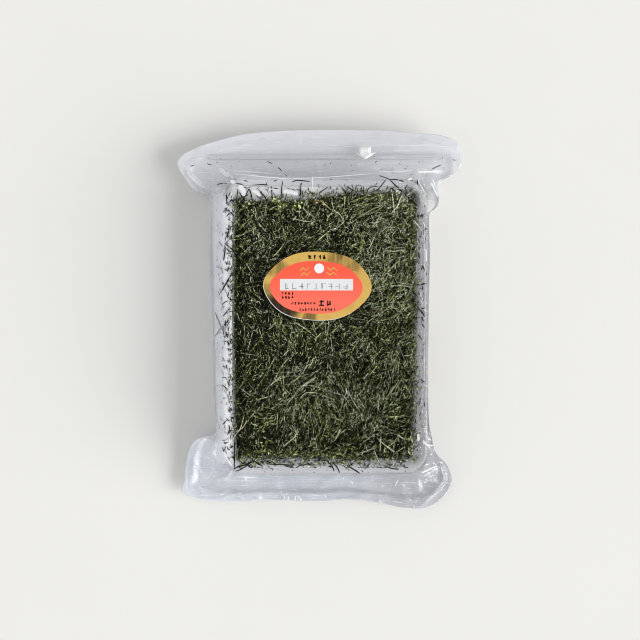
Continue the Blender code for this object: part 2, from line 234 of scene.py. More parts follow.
def placeGroup(tree, group, values):
    node = tree.nodes.new("ShaderNodeGroup")
    node.node_tree = group
    for key, value in values.items():
        feed(tree, node.inputs[key], value)
    return node.outputs


def makeMottle():
    # Uneven tone at two sizes, with a matching height: used on leaf, label and floor
    inputs = {"Scale": 300.0, "Fine share": 0.4, "Contrast": 1.0}
    tree, given, out = newGroup("mottle", inputs, ("Tone", "Height"))
    place = addNode(tree, "ShaderNodeTexCoord").outputs["Object"]
    broad = addNoise(tree, place, given["Scale"], 3.0)
    fine = addNoise(tree, place, addMath(tree, "MULTIPLY", given["Scale"], 6.0), 2.0)
    mixed = addNode(tree, "ShaderNodeMix",
                    {"Factor": given["Fine share"], "A": broad, "B": fine}).outputs["Result"]
    centred = addMath(tree, "SUBTRACT", mixed, 0.5)
    spread = addMath(tree, "MULTIPLY_ADD", centred, given["Contrast"], 0.5, clamp=True)
    tree.links.new(spread, out["Tone"])
    tree.links.new(fine, out["Height"])
    return tree


def makeHandling():
    # Fine scuffs and drawn lines on clear plastic: used on film, tray, zip and label
    inputs = {"Scale": 120.0, "Stretch": 5.0, "Amount": 0.5}
    tree, given, out = newGroup("handling marks", inputs, ("Mask", "Height"))
    place = addNode(tree, "ShaderNodeTexCoord").outputs["Object"]
    apart = addNode(tree, "ShaderNodeSeparateXYZ", {"Vector": place}).outputs
    stretched = addMath(tree, "MULTIPLY", apart["X"], given["Stretch"])
    along = addNode(tree, "ShaderNodeCombineXYZ",
                    {"X": stretched, "Y": apart["Y"], "Z": apart["Z"]}).outputs[0]
    lines = addNoise(tree, along, given["Scale"], 4.0, 0.6)
    edge = addMath(tree, "SUBTRACT", lines, 0.56)
    mask = addMath(tree, "MULTIPLY", edge, 7.0, clamp=True)
    tree.links.new(addMath(tree, "MULTIPLY", mask, given["Amount"]), out["Mask"])
    tree.links.new(lines, out["Height"])
    return tree


mottle = makeMottle()
handling = makeHandling()


def newMaterial(name, values):
    made = bpy.data.materials.new(name)
    made.use_nodes = True
    shader = made.node_tree.nodes["Principled BSDF"]
    for key, value in values.items():
        shader.inputs[key].default_value = value
    return made, made.node_tree, shader.inputs


def addBump(tree, sockets, height, strength, distance):
    bump = addNode(tree, "ShaderNodeBump", {"Height": height, "Strength": strength, "Distance": distance})
    tree.links.new(bump.outputs["Normal"], sockets["Normal"])


def pointTag(tree, name):
    return addNode(tree, "ShaderNodeAttribute", attribute_name=name).outputs["Fac"]


# The shreds' colours; the specks are painted glints
leafFinish = {
    "tones": ((0.0, (0.0012, 0.0015, 0.0004)), (0.30, (0.009, 0.011, 0.0026)), (0.50, (0.044, 0.050, 0.014)),
              (0.70, (0.175, 0.183, 0.074)), (1.0, (0.900, 0.920, 0.760))),
    "tints": ((0.0, (1.0, 0.82, 0.66)), (0.5, (0.95, 1.0, 0.97)), (1.0, (0.88, 1.0, 0.38))),
    "roughness": (0.20, 0.40), "specular": 0.07, "bump": 0.5, "bumpDepth": 0.00006,
    "paintedGlintScale": 820.0, "paintedGlintFrom": 0.60, "paintedGlintSharp": 9.0, "paintedGlintTone": (0.08, 0.56), "uneven": 0.62,
}


def makeLeafMaterial():
    made, tree, sockets = newMaterial("dried_nori", {"Specular IOR Level": leafFinish["specular"]})
    marks = placeGroup(tree, mottle, {"Scale": 420.0, "Fine share": 0.45, "Contrast": 0.55})
    shifted = addMath(tree, "SUBTRACT", marks["Tone"], 0.5)
    uneven = addMath(tree, "MULTIPLY_ADD", shifted, leafFinish["uneven"], pointTag(tree, "leafTone"),
                     clamp=True)
    # Painted glints: short bright specks, stronger on the paler shreds
    place = addNode(tree, "ShaderNodeTexCoord").outputs["Object"]
    fine = addNoise(tree, place, leafFinish["paintedGlintScale"], 0.0)
    overLevel = addMath(tree, "SUBTRACT", fine, leafFinish["paintedGlintFrom"])
    paintedGlint = addMath(tree, "MULTIPLY", overLevel, leafFinish["paintedGlintSharp"], clamp=True)
    least, more = leafFinish["paintedGlintTone"]
    added = addMath(tree, "MULTIPLY_ADD", uneven, more, least)
    tone = addMath(tree, "MULTIPLY_ADD", paintedGlint, added, uneven, clamp=True)
    tint = addRamp(tree, pointTag(tree, "leafTint"), leafFinish["tints"])
    colour = addMix(tree, 1.0, addRamp(tree, tone, leafFinish["tones"]), tint, "MULTIPLY")
    tree.links.new(colour, sockets["Base Color"])
    low, high = leafFinish["roughness"]
    tree.links.new(addMath(tree, "MULTIPLY_ADD", marks["Tone"], high - low, low), sockets["Roughness"])
    addBump(tree, sockets, marks["Height"], leafFinish["bump"], leafFinish["bumpDepth"])
    return made


# The film's colours: white for painted highlights along creases and for print, grey for painted shade
filmFinish = {
    "tones": ((0.0, (0.40, 0.40, 0.43)), (0.5, (0.72, 0.72, 0.76)), (1.0, (0.95, 0.96, 0.99))),
    "white": (0.97, 0.97, 0.98), "paintedShadeGrey": (0.16, 0.16, 0.17), "warm": (0.93, 0.92, 0.80),
    "cool": (0.60, 0.67, 0.77),
    "clear": 0.001, "crease": 0.55, "edge": 0.08, "lines": 0.45, "roughness": (0.08, 0.24),
}


def makeFilmMaterial():
    made, tree, sockets = newMaterial("clear_film", {"Specular IOR Level": 0.6})
    marks = placeGroup(tree, handling, {"Scale": 45.0, "Stretch": 2.0, "Amount": 1.0})
    drawn = placeGroup(tree, handling, {"Scale": 1100.0, "Stretch": 0.035, "Amount": 1.0})
    # The crease tag whitens painted highlights and the white print; the shade tag greys painted shade
    crease, shade = pointTag(tree, "filmHighlightAndPrint"), pointTag(tree, "filmPaintedShade")
    haze = pointTag(tree, "filmHaze")
    facing = addNode(tree, "ShaderNodeLayerWeight", {"Blend": 0.35}).outputs["Facing"]
    edge = addMath(tree, "MULTIPLY", addMath(tree, "POWER", facing, 2.0), filmFinish["edge"])
    lines = addMath(tree, "MULTIPLY", drawn["Mask"], pointTag(tree, "filmFlap"))
    strength = addMath(tree, "MULTIPLY_ADD", lines, filmFinish["lines"], 1.0)
    scuffed = addMath(tree, "MULTIPLY", addMath(tree, "MULTIPLY_ADD", marks["Mask"], 0.12, strength), haze)
    marked = addMath(tree, "MAXIMUM", crease, shade)
    folded = addMath(tree, "MULTIPLY_ADD", marked, filmFinish["crease"], scuffed)
    covered = addMath(tree, "ADD", addMath(tree, "ADD", folded, edge), filmFinish["clear"], clamp=True)
    tree.links.new(covered, sockets["Alpha"])
    brightened = addMath(tree, "MULTIPLY_ADD", lines, 0.16, pointTag(tree, "filmToneAndPaintedLight"), clamp=True)
    tint = pointTag(tree, "filmTint")
    warmth = addMath(tree, "MAXIMUM", tint, 0.0)
    warmed = addMix(tree, warmth, addRamp(tree, brightened, filmFinish["tones"]), filmFinish["warm"])
    cooled = addMix(tree, addMath(tree, "MULTIPLY", tint, -1.0, clamp=True), warmed, filmFinish["cool"])
    pale = addMix(tree, crease, cooled, filmFinish["white"])
    tree.links.new(addMix(tree, shade, pale, filmFinish["paintedShadeGrey"]), sockets["Base Color"])
    low, high = filmFinish["roughness"]
    tree.links.new(addMath(tree, "MULTIPLY_ADD", marks["Mask"], high - low, low), sockets["Roughness"])
    addBump(tree, sockets, addMath(tree, "ADD", marks["Height"], lines), 0.15, 0.0003)
    return made


# Clear plastic: white, and grey for painted shade
trayFinish = {"white": (0.93, 0.94, 0.95), "paintedShadeGrey": (0.26, 0.26, 0.25), "edge": 0.35,
              "roughness": (0.08, 0.22)}


def makeTrayMaterial():
    made, tree, sockets = newMaterial("clear_tray_plastic", {"Specular IOR Level": 0.7})
    marks = placeGroup(tree, handling, {"Scale": 70.0, "Stretch": 6.0, "Amount": 1.0})
    facing = addNode(tree, "ShaderNodeLayerWeight", {"Blend": 0.30}).outputs["Facing"]
    steep = addMath(tree, "POWER", facing, 1.6)
    edge = addMath(tree, "MULTIPLY_ADD", steep, trayFinish["edge"], pointTag(tree, "trayHaze"))
    tree.links.new(addMath(tree, "MULTIPLY_ADD", marks["Mask"], 0.06, edge, clamp=True), sockets["Alpha"])
    white = addNode(tree, "ShaderNodeRGB").outputs[0]
    white.default_value = (*trayFinish["white"], 1)
    tree.links.new(addMix(tree, pointTag(tree, "trayPaintedShade"), white, trayFinish["paintedShadeGrey"]),
                   sockets["Base Color"])
    low, high = trayFinish["roughness"]
    tree.links.new(addMath(tree, "MULTIPLY_ADD", marks["Mask"], high - low, low), sockets["Roughness"])
    addBump(tree, sockets, marks["Height"], 0.15, 0.0003)
    return made


def makePrintMaterial(name, dark, light, roughness, metallic=0.0, scale=160.0, contrast=1.2, coat=0.0):
    # A printed or foil face whose tone wanders between two colours
    inputs = {"Metallic": metallic, "Coat Weight": coat, "Coat Roughness": 0.15}
    made, tree, sockets = newMaterial(name, inputs)
    marks = placeGroup(tree, mottle, {"Scale": scale, "Fine share": 0.25, "Contrast": contrast})
    tree.links.new(addRamp(tree, marks["Tone"], ((0.0, dark), (1.0, light))), sockets["Base Color"])
    scuffs = placeGroup(tree, handling, {"Scale": 200.0, "Stretch": 3.0, "Amount": 1.0})
    tree.links.new(addMath(tree, "MULTIPLY_ADD", scuffs["Mask"], 0.15, roughness), sockets["Roughness"])
    addBump(tree, sockets, marks["Height"], 0.1, 0.0001)
    return made


leafMaterial = makeLeafMaterial()
filmMaterial = makeFilmMaterial()
trayMaterial = makeTrayMaterial()
print("Materials made")


def finishPiece(piece, material, slot, *nodes):
    piece.data.materials.clear()
    piece.data.materials.append(material)
    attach(piece, "root")
    if nodes:
        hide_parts(*nodes)


# Tray

tray = {
    "centre": (0.0044, -0.0043), "rimWidth": 0.1490, "rimLength": 0.2138, "floorWidth": 0.1300,
    "rimBand": 0.0045, "lipDrop": 0.0025, "corner": 0.0115, "wall": 0.0006, "underside": 0.0008,
    "top": 0.0360, "ledgeHeight": 0.0240, "ledge": 0.0012, "bend": 0.0030, "cornerSteps": 18,
    "headWallPaintedLight": 0.85,
}


def trayProfile():
    # Rings from the floor to the lip: inset from the rim's outline, height, whiteness and painted shade
    width, band, top = tray["rimWidth"], tray["rimBand"], tray["top"]
    floorInset = (width - tray["floorWidth"]) / 2
    slope = (floorInset - band) / top
    profile = []
    for share in np.linspace(0, 1, 7):  # floor's rounded edge
        turn = math.radians(90 * share)
        inset = floorInset + tray["bend"] * (1 - math.sin(turn))
        profile.append((inset, tray["underside"] + tray["bend"] * (1 - math.cos(turn)), 0.05, 0))
    ledge, ledgeHeight = tray["ledge"], tray["ledgeHeight"]
    ledgeInset = floorInset - slope * ledgeHeight + ledge / 2
    profile += [
        (ledgeInset + 0.0002, ledgeHeight - 0.0008, 0.12, 0), (ledgeInset, ledgeHeight, 0.25, 0),
        (ledgeInset - ledge * 0.5, ledgeHeight + 0.0005, 0.30, 0),
        (ledgeInset - ledge, ledgeHeight + 0.0010, 0.25, 0),
        (ledgeInset - ledge - 0.0001, ledgeHeight + 0.0018, 0.55, 0), (band + 0.0006, top - 0.0022, 0.70, 0),
        (band + 0.0004, top - 0.0016, 0.50, 0.05), (band + 0.0001, top - 0.0007, 0.36, 0.20),
        (band - 0.0003, top - 0.0002, 0.28, 0.12), (band - 0.0009, top, 0.22, 0), (0.0014, top, 0.20, 0),
        (0.0007, top - 0.0002, 0.22, 0), (0.0002, top - 0.0008, 0.24, 0.06),
        (0.0, top - tray["lipDrop"], 0.20, 0.10),
    ]
    return profile


def trayCorner(inset, height):
    # The corner's radius in plan: wider round the rim, tighter where the floor's edge bends in
    if height < tray["underside"] + tray["bend"] - 1e-9:
        return tray["corner"] - (inset - (tray["rimWidth"] - tray["floorWidth"]) / 2)
    if inset < tray["rimBand"]:
        return max(0.004, tray["corner"] + tray["rimBand"] - inset)
    return tray["corner"]


def makeTray():
    rings, hazes, shades = [], [], []
    for inset, height, haze, shade in trayProfile():
        width, length = tray["rimWidth"] - 2 * inset, tray["rimLength"] - 2 * inset
        flat = roundedRectangle(width, length, trayCorner(inset, height), tray["centre"], tray["cornerSteps"])
        rings.append(np.column_stack([flat, np.full(len(flat), height)]))
        hazes.append(np.full(len(flat), haze))
        shades.append(np.full(len(flat), shade))
    outer = np.array(rings)
    inner = outer - ringNormals(outer) * tray["wall"]
    outer[..., 2] = np.minimum(outer[..., 2], tray["top"])
    shade, haze = np.array(shades), np.array(hazes)
    x, y, z = (outer[..., axis] for axis in range(3))
    # Painted shade: the right side is greyed, as it faces away from the bright wall
    rightSide = smoothStep(0.055, 0.068, x)  # this side faces away from the bright wall
    shade = np.clip(shade * (1 + 2.5 * rightSide) + 0.45 * rightSide, 0, 1)
    # Painted light: the head wall is whiter
    headWall = smoothStep(0.086, 0.092, y) * smoothStep(0.004, 0.008, z) * (z < 0.0350)
    haze = haze + (tray["headWallPaintedLight"] - haze) * headWall
    return thinShell("clear_tray", outer, inner, {"trayHaze": haze, "trayPaintedShade": shade})


trayPiece = makeTray()
finishPiece(trayPiece, trayMaterial, "tray_plastic", "tray")
print("Tray made")


# Pouch film

pouch = {
    "film": 0.00015, "seamSide": 0.0190, "seamHead": 0.0170, "seamFoot": 0.0080, "sideEnds": 0.0700,
    "headStarts": 0.1080, "footStarts": 0.1180, "frontCrown": 0.0379, "backCrown": 0.0005, "sideBulge": 0.45,
    "sideReach": 0.012, "endReach": 0.030, "weldShare": 0.13, "openShare": 0.27, "riseShare": 0.45,
    "endRoom": 0.0024, "columns": 400, "rimSupport": (0.1502, 0.2150, 0.0160),
    "floorSupport": (0.1330, 0.1978, 0.0115), "outerFace": 0.00045,
    # The left side's higher haze, white in tone, paints it lighter
    "frontHaze": (0.07, 0.22, 0.08), "backHaze": (0.62, 0.88, 0.24),  # on the flaps, left side and right side
}

pouchOutline = (
    (-0.1060, 0.1203), (-0.1064, 0.1160), (-0.1043, 0.1115), (-0.1007, 0.1062), (-0.0964, 0.0999),
    (-0.0907, 0.0958), (-0.0833, 0.0936), (-0.0820, 0.0841), (-0.0826, 0.0601), (-0.0820, 0.0339),
    (-0.0806, 0.0076), (-0.0796, -0.0224), (-0.0789, -0.0486), (-0.0778, -0.0711), (-0.0772, -0.0824),
    (-0.0814, -0.0872), (-0.0896, -0.0885), (-0.0953, -0.0925), (-0.0990, -0.0994), (-0.1013, -0.1094),
    (-0.1031, -0.1229), (-0.1034, -0.1310), (-0.0956, -0.1344), (-0.0791, -0.1374), (-0.0611, -0.1379),
    (-0.0431, -0.1364), (-0.0011, -0.1376), (0.0191, -0.1362), (0.0349, -0.1371), (0.0499, -0.1398),
    (0.0634, -0.1424), (0.0749, -0.1431), (0.0829, -0.1419), (0.0916, -0.1368), (0.0974, -0.1305),
    (0.1008, -0.1232), (0.0996, -0.1164), (0.0963, -0.1096), (0.0892, -0.1023), (0.0865, -0.0970),
    (0.0840, -0.0869), (0.0815, -0.0734), (0.0805, -0.0374), (0.0811, -0.0074), (0.0816, 0.0226),
    (0.0824, 0.0481), (0.0817, 0.0676), (0.0821, 0.0796), (0.0853, 0.0825), (0.0889, 0.0865),
    (0.0895, 0.0912), (0.0885, 0.0972), (0.0886, 0.1018), (0.0919, 0.1059), (0.1016, 0.1106),
    (0.1061, 0.1156), (0.1064, 0.1233), (0.1052, 0.1299), (0.1020, 0.1342), (0.0964, 0.1372),
    (0.0882, 0.1392), (0.0682, 0.1407), (0.0447, 0.1428), (0.0079, 0.1432), (-0.0203, 0.1428),
    (-0.0433, 0.1413), (-0.0586, 0.1394), (-0.0739, 0.1356), (-0.0892, 0.1310), (-0.1006, 0.1256),
)

# Folds of the flaps: start and end in the picture, width and height in millimetres, and the painted highlight
# along them
headFolds = (
    (184.5, 169, 206, 188, 0.9, 1.0, 0.7), (190, 158, 213, 170, 1.5, 0.8, 0.2),
    (219, 167, 235, 181, 1.6, 0.7, 0.6), (235, 173.5, 290, 179, 0.8, 0.5, 0.7),
    (290, 179, 375, 176, 0.8, 0.3, 0.25), (416, 172, 419, 182.7, 0.7, 0.7, 0.8),
    (419, 182.7, 426.6, 195, 0.7, 0.7, 0.8), (431, 182.7, 438, 196.5, 0.7, 0.6, 0.7),
    (419, 171.3, 441, 172, 0.7, 0.5, 0.8), (380, 168, 392, 171, 2.0, -1.2, 0.0),
    (200, 147, 240, 160, 2.4, 0.8, 0.1), (425, 140, 455, 150, 2.2, 0.8, 0.15),
    (395, 150, 450, 165, 2.0, 0.7, 0.1),
)
footFolds = (
    (196, 463.5, 204.4, 475.8, 0.8, 0.9, 0.8), (231, 472.7, 226.6, 478, 0.8, 0.7, 0.8),
    (226.6, 478, 219.7, 479.6, 0.8, 0.6, 0.7), (235.8, 477.3, 256.4, 477.3, 0.7, 0.4, 0.6),
    (422, 472.7, 441, 466, 0.8, 0.9, 0.7), (441, 466, 444, 477, 0.8, 0.8, 0.6),
    (437, 492, 421, 505.6, 1.0, 0.9, 0.5), (396.7, 481, 397, 486.5, 1.0, 0.4, 0.6),
    (419.7, 480, 420, 489, 0.9, 0.5, 0.7), (393, 501, 403, 503, 1.0, 0.4, 0.5),
    (413.6, 506, 413.8, 508.7, 0.9, 0.4, 0.7), (377.6, 498.7, 382, 505.6, 1.4, 0.6, 0.3),
    (425, 432, 433, 440, 0.7, 0.4, 0.5), (426, 444, 436, 450, 0.7, 0.4, 0.5),
    (200, 488, 203.6, 495.6, 0.7, 0.3, 0.5), (222, 494, 223, 498, 1.2, 0.3, 0.6),
    (240, 494, 241, 498, 1.2, 0.3, 0.6), (259, 494, 260, 498, 1.2, 0.3, 0.6),
    (284, 495.7, 289, 503.3, 1.0, 0.4, 0.3), (295, 495.7, 302.7, 503.3, 1.0, 0.4, 0.3),
)


# Crumple of the film: heights and cells of its waves in metres, its share on the head flap, where the zip
# keeps it flat, height and pitch of the ribs in the foot's seal, and how its folds fade
crumples = {
    "soft": ((0.0010, 0.020), (0.0004, 0.010)), "pinched": ((0.0006, 0.018), (0.0002, 0.008)),
    "headShare": 0.35, "slack": ((0.00016, 0.030), (0.00022, 0.034)), "sink": 0.00015,
    "ends": (0.0008, 0.011), "zipAt": 0.1222, "ribs": (0.00016, 0.0026),
    "foldFade": 0.0025, "foldSlope": 0.0018, "foldLine": 0.00055,
}
# Rings of a web: shares from the weld to the crown's edge, and from there to the middle of the crown
webShares = np.concatenate([np.linspace(0, 0.13, 9), np.linspace(0.15, 0.97, 40), [0.985, 1.0]])[::-1]
crownShares = np.array([0.985, 0.93, 0.86, 0.78, 0.69, 0.60, 0.50, 0.41, 0.32, 0.24, 0.17, 0.11, 0.06, 0.025])


def smoothOutline(points, count):
    # Evenly spaced points on a closed smooth curve through the given ones
    knots = np.array(points)
    before, start, end, after = (np.roll(knots, 1 - k, axis=0)[:, None, :] for k in range(4))
    t = np.linspace(0, 1, 12, endpoint=False)[None, :, None]
    fine = 0.5 * (2 * start + (end - before) * t + (2 * before - 5 * start + 4 * end - after) * t**2
                  + (3 * start - before - 3 * end + after) * t**3)
    fine = fine.reshape(-1, 2)
    closed = np.vstack([fine, fine[:1]])
    walked = np.concatenate([[0], np.cumsum(np.linalg.norm(np.diff(closed, axis=0), axis=1))])
    wanted = np.linspace(0, walked[-1], count, endpoint=False)
    return np.column_stack([np.interp(wanted, walked, closed[:, 0]), np.interp(wanted, walked, closed[:, 1])])


def nearestOnRectangle(spots, support):
    width, length, corner = support
    away = spots - np.array(tray["centre"])
    limit = np.array([width / 2 - corner, length / 2 - corner])
    inner = np.clip(away, -limit, limit)
    out = away - inner
    away = out / np.maximum(np.linalg.norm(out, axis=-1, keepdims=True), 1e-9)
    return np.array(tray["centre"]) + inner + away * corner


def seamHeight(y):
    toHead = smoothStep(pouch["sideEnds"], pouch["headStarts"], y)
    toFoot = smoothStep(pouch["sideEnds"], pouch["footStarts"], -y)
    side = pouch["seamSide"]
    return side + (pouch["seamHead"] - side) * toHead + (pouch["seamFoot"] - side) * toFoot


def foldAt(x, y, folds, height):
    # Height and painted highlight of the listed folds at each place
    lift, white = np.zeros_like(x), np.zeros_like(x)
    for column0, row0, column1, row1, wide, high, pale in folds:
        start, end = np.array(seenAt(column0, row0, height)), np.array(seenAt(column1, row1, height))
        run = end - start
        length = np.linalg.norm(run)
        alongShare = ((x - start[0]) * run[0] + (y - start[1]) * run[1]) / length**2
        off = ((x - start[0]) * run[1] - (y - start[1]) * run[0]) / length
        beyond = np.maximum(0, np.abs(alongShare - 0.5) - 0.5) * length
        fade = np.exp(-(beyond / crumples["foldFade"]) ** 2)
        lift += high * 0.001 * np.exp(-np.abs(off) / (wide * crumples["foldSlope"])) * fade
        near = np.exp(-(off / (wide * crumples["foldLine"])) ** 2) * np.exp(-(beyond / 0.001) ** 2)
        white = np.maximum(white, pale * near)
    return lift, white


def flapRelief(x, y):
    # Crumple that both webs of a flap share, with the painted highlights along its creases
    spots = np.stack([x, y], -1)
    reach = np.linalg.norm(spots - nearestOnRectangle(spots, pouch["rimSupport"]), axis=-1)
    onFlap = smoothStep(0.003, 0.015, reach) * smoothStep(0.085, 0.100, np.abs(y))
    zipClear = smoothStep(0.0026, 0.0060, np.abs(y - crumples["zipAt"]))
    crumple = np.where(y > 0, crumples["headShare"], 1.0)
    (broadHigh, broadCell), (fineHigh, fineCell) = crumples["soft"]
    soft = broadHigh * softNoise(0.4 * x, y, broadCell, 3) + fineHigh * crumple * softNoise(x, y, fineCell, 4)
    (broadHigh, broadCell), (fineHigh, fineCell) = crumples["pinched"]
    broad, fine = creaseNoise(x + 0.6 * y, y - 0.3 * x, broadCell, 5), creaseNoise(x, y, fineCell, 6)
    pinched = crumple * (broadHigh * broad + fineHigh * fine)
    headLift, headWhite = foldAt(x, y, headFolds, pouch["seamHead"])
    footLift, footWhite = foldAt(x, y, footFolds, pouch["seamFoot"])
    isHead = (y > 0) * 1.0
    lift = headLift * isHead + footLift * (1 - isHead)
    white = headWhite * isHead + footWhite * (1 - isHead)
    ribbed = smoothStep(-0.117, -0.122, y) * smoothStep(-0.140, -0.133, y)  # the foot's heat seal
    ribHigh, ribPitch = crumples["ribs"]
    ribs = ribHigh * np.cos(x * 2 * np.pi / ribPitch) * ribbed
    return (soft + pinched + lift + ribs) * onFlap * zipClear, white * smoothStep(0.001, 0.006, reach)


def tautWeb(crown, support, side):
    # Places in plan, heights and shares of the web before it crumples, in rings from the middle to the weld
    edge = smoothOutline(pouchOutline, pouch["columns"])
    ending = nearestOnRectangle(edge, support)
    reach = np.linalg.norm(edge - nearestOnRectangle(edge, pouch["rimSupport"]), axis=1)
    atEnd = smoothStep(pouch["sideReach"], pouch["endReach"], reach)
    share = webShares[:, None]
    flat = edge[None] + (ending - edge)[None] * share[..., None]
    opened = smoothStep(pouch["weldShare"], pouch["openShare"], share)
    late = smoothStep(pouch["riseShare"], 1, share)
    start = seamHeight(edge[:, 1])[None] + side * (0.00002 + 0.00013 * opened)
    bulged = share ** pouch["sideBulge"]
    rise = bulged + (late - bulged) * atEnd[None]
    outer = start + (crown - start) * rise + side * pouch["endRoom"] * opened * (1 - late) * atEnd[None]
    outer = outer + side * (0.00012 + (pouch["outerFace"] - 0.00012) * opened)
    centre = np.array(tray["centre"])
    crownFlat = centre + (ending - centre)[None] * (1 - crownShares)[:, None, None]
    crownHeight = np.full(crownFlat.shape[:2], crown + side * pouch["outerFace"])
    shareAll = np.concatenate([np.full_like(crownHeight, 1.0), np.broadcast_to(share, outer.shape)])
    return np.concatenate([crownFlat, flat]), np.concatenate([crownHeight, outer]), shareAll


def frontSlack(x, y, height, shareAll):
    # The front web's slack over the tray and its crumple towards the flaps
    (softHigh, softCell), (creaseHigh, creaseCell) = crumples["slack"]
    slack = softHigh * softNoise(x, y, softCell, 11) + creaseHigh * (creaseNoise(x, y, creaseCell, 12) - 0.5)
    height = height + (slack - crumples["sink"]) * smoothStep(0.80, 1.0, shareAll)
    offCrown = smoothStep(0.30, 0.45, shareAll) * (1 - smoothStep(0.85, 1, shareAll))
    ends = offCrown * smoothStep(0.092, 0.104, np.abs(y))
    endHigh, endCell = crumples["ends"]
    height = height + endHigh * (creaseNoise(1.4 * x, 0.5 * y, endCell, 13) - 0.3) * ends
    return np.minimum(height, cadBox[1][2] - 0.0006)


def filmSurface(crown, support, side):
    # The web's outer face, its inner face and its tags, in rings from the middle of the crown to the weld
    flat, height, shareAll = tautWeb(crown, support, side)
    x, y = flat[..., 0], flat[..., 1]
    relief, white = flapRelief(x, y)
    height = height + relief
    height = frontSlack(x, y, height, shareAll) if side > 0 else np.maximum(height, 0.00003)
    tags = filmTags(x, y, shareAll, white, side)
    face = np.stack([x, y, height], -1)
    normals = ringNormals(face)
    back = face - normals * side * pouch["film"] * np.sign(normals[..., 2:3] * side)
    if side < 0:
        face[..., 2], back[..., 2] = np.maximum(face[..., 2], 0.00001), np.maximum(back[..., 2], 0.00012)
    return face, back, tags


def filmTags(x, y, shareAll, white, side):
    # Haze, painted crease highlights, painted shade, tone with painted light, and tint of a web at each of
    # its points
    flatCrown = smoothStep(0.97, 1.0, shareAll) if side > 0 else smoothStep(0.9, 1.0, shareAll)
    onFlap = smoothStep(0.088, 0.100, np.abs(y))
    onFoot = smoothStep(-0.100, -0.108, y) * (1 - smoothStep(0.9, 1, shareAll))
    leftSide, rightSide = (1 - onFlap) * (x < 0), (1 - onFlap) * (x > 0)
    hazes = pouch["frontHaze"] if side > 0 else pouch["backHaze"]
    haze = hazes[0] * onFlap + hazes[1] * leftSide + hazes[2] * rightSide
    haze = haze * (1 - flatCrown) * (1.0 + 0.10 * softNoise(x, y, 0.03, 14))
    crumple = 0.10 * creaseNoise(x + 0.5 * y, y, 0.013, 15) + 0.06 * creaseNoise(x, y - 0.4 * x, 0.007, 16)
    seam = 1 - smoothStep(0.02, 0.16, shareAll)
    # Painted highlights: fold whitening, crumple on the foot and the left side's weld
    crease = np.clip(white + crumple * onFoot + 0.6 * leftSide * seam, 0, 1)
    # Painted shade along the right side's weld
    shade = np.clip(seam * rightSide * 0.9, 0, 1)
    across = np.clip(x / 0.1, -1, 1)
    # Painted light: tone lighter towards the left and darker towards the right
    tone = np.where(y > 0, 0.80 - 0.14 * across, 0.50 - 0.26 * across) + 0.26 * leftSide - 0.10 * rightSide
    tint = -np.where(y < -0.08, 0.45 - 0.30 * smoothStep(0.0, 0.06, x), 0.10) * onFlap - 0.25 * leftSide
    return {"filmHaze": haze, "filmHighlightAndPrint": crease, "filmPaintedShade": shade, "filmToneAndPaintedLight": np.clip(tone, 0, 1),
            "filmTint": tint, "filmFlap": onFlap * (1 - flatCrown) * np.where(y > 0, 0.40, 1.0)}


def makeFilm(name, crown, support, side, node):
    face, back, tags = filmSurface(crown, support, side)
    # Rings run outwards and down on the front web, so its faces are turned round
    piece = thinShell(name, back, face, tags) if side > 0 else thinShell(name, face, back, tags)
    finishPiece(piece, filmMaterial, "film", node)
    return piece


frontFilm = makeFilm("front_film", pouch["frontCrown"], pouch["rimSupport"], 1, "pouch_front_film")
makeFilm("back_film", pouch["backCrown"], pouch["floorSupport"], -1, "pouch_back_film")
print("Film made")

filmMesh = frontFilm.data
filmTree = BVHTree.FromPolygons([v.co for v in filmMesh.vertices], [p.vertices for p in filmMesh.polygons])


def onFilm(column, row, below):
    # Place on the front film at a spot of the picture, or this far under it
    height = pouch["frontCrown"]
    for _ in range(3):
        x, y = seenAt(column, row, height)
        hit = filmTree.ray_cast(Vector((x, y, 0.2)), Vector((0, 0, -1)))[0]
        height = hit.z if hit else height
    return x, y, height - below


def overFilm(column, row):
    x, y = seenAt(column, row, pouch["seamSide"])
    return filmTree.ray_cast(Vector((x, y, 0.2)), Vector((0, 0, -1)))[0] is not None


def evenAlong(spots, count):
    # Evenly spaced points along a line through the given ones
    spots = np.array(spots, float)
    walked = np.concatenate([[0], np.cumsum(np.linalg.norm(np.diff(spots, axis=0), axis=1))])
    wanted = np.linspace(0, walked[-1], count)
    return np.column_stack([np.interp(wanted, walked, spots[:, axis]) for axis in (0, 1)])


def layOnFilm(lines, below, thick, stations=11):
    # Corners of three-sided strips on or under the film, from lines of spots in the picture and widths in mm
    paths = []
    for spots, _ in lines:
        seen = evenAlong(spots, stations)
        seen[1:-1] = 0.25 * seen[:-2] + 0.5 * seen[1:-1] + 0.25 * seen[2:]
        paths.append([onFilm(column, row, below) for column, row in seen])
    paths = np.array(paths)
    widths = np.array([width for _, width in lines])[:, None, None] * 0.001
    along = np.gradient(paths, axis=1)
    across = np.cross(np.array([0.0, 0.0, 1.0]), along)
    across /= np.maximum(np.linalg.norm(across, axis=2, keepdims=True), 1e-9)
    ends = (1 - 0.6 * np.abs(np.linspace(-1, 1, stations)) ** 6)[None, :, None]
    ridge = np.array([0.0, 0.0, thick])
    reach = across * widths * ends / 2
    return np.stack([paths - reach, paths + reach, paths + ridge * ends], 2)


# Nori

nori = {
    "centre": (0.0044, -0.0046), "bottom": 0.0036, "top": 0.0350, "topHalf": (0.0680, 0.0984),
    "floorHalf": (0.0590, 0.0885), "seed": 53, "thickness": (0.00006, 0.00014), "stations": 5,
    "depth": 0.0085, "ceiling": 0.0368, "grain": 70,
}
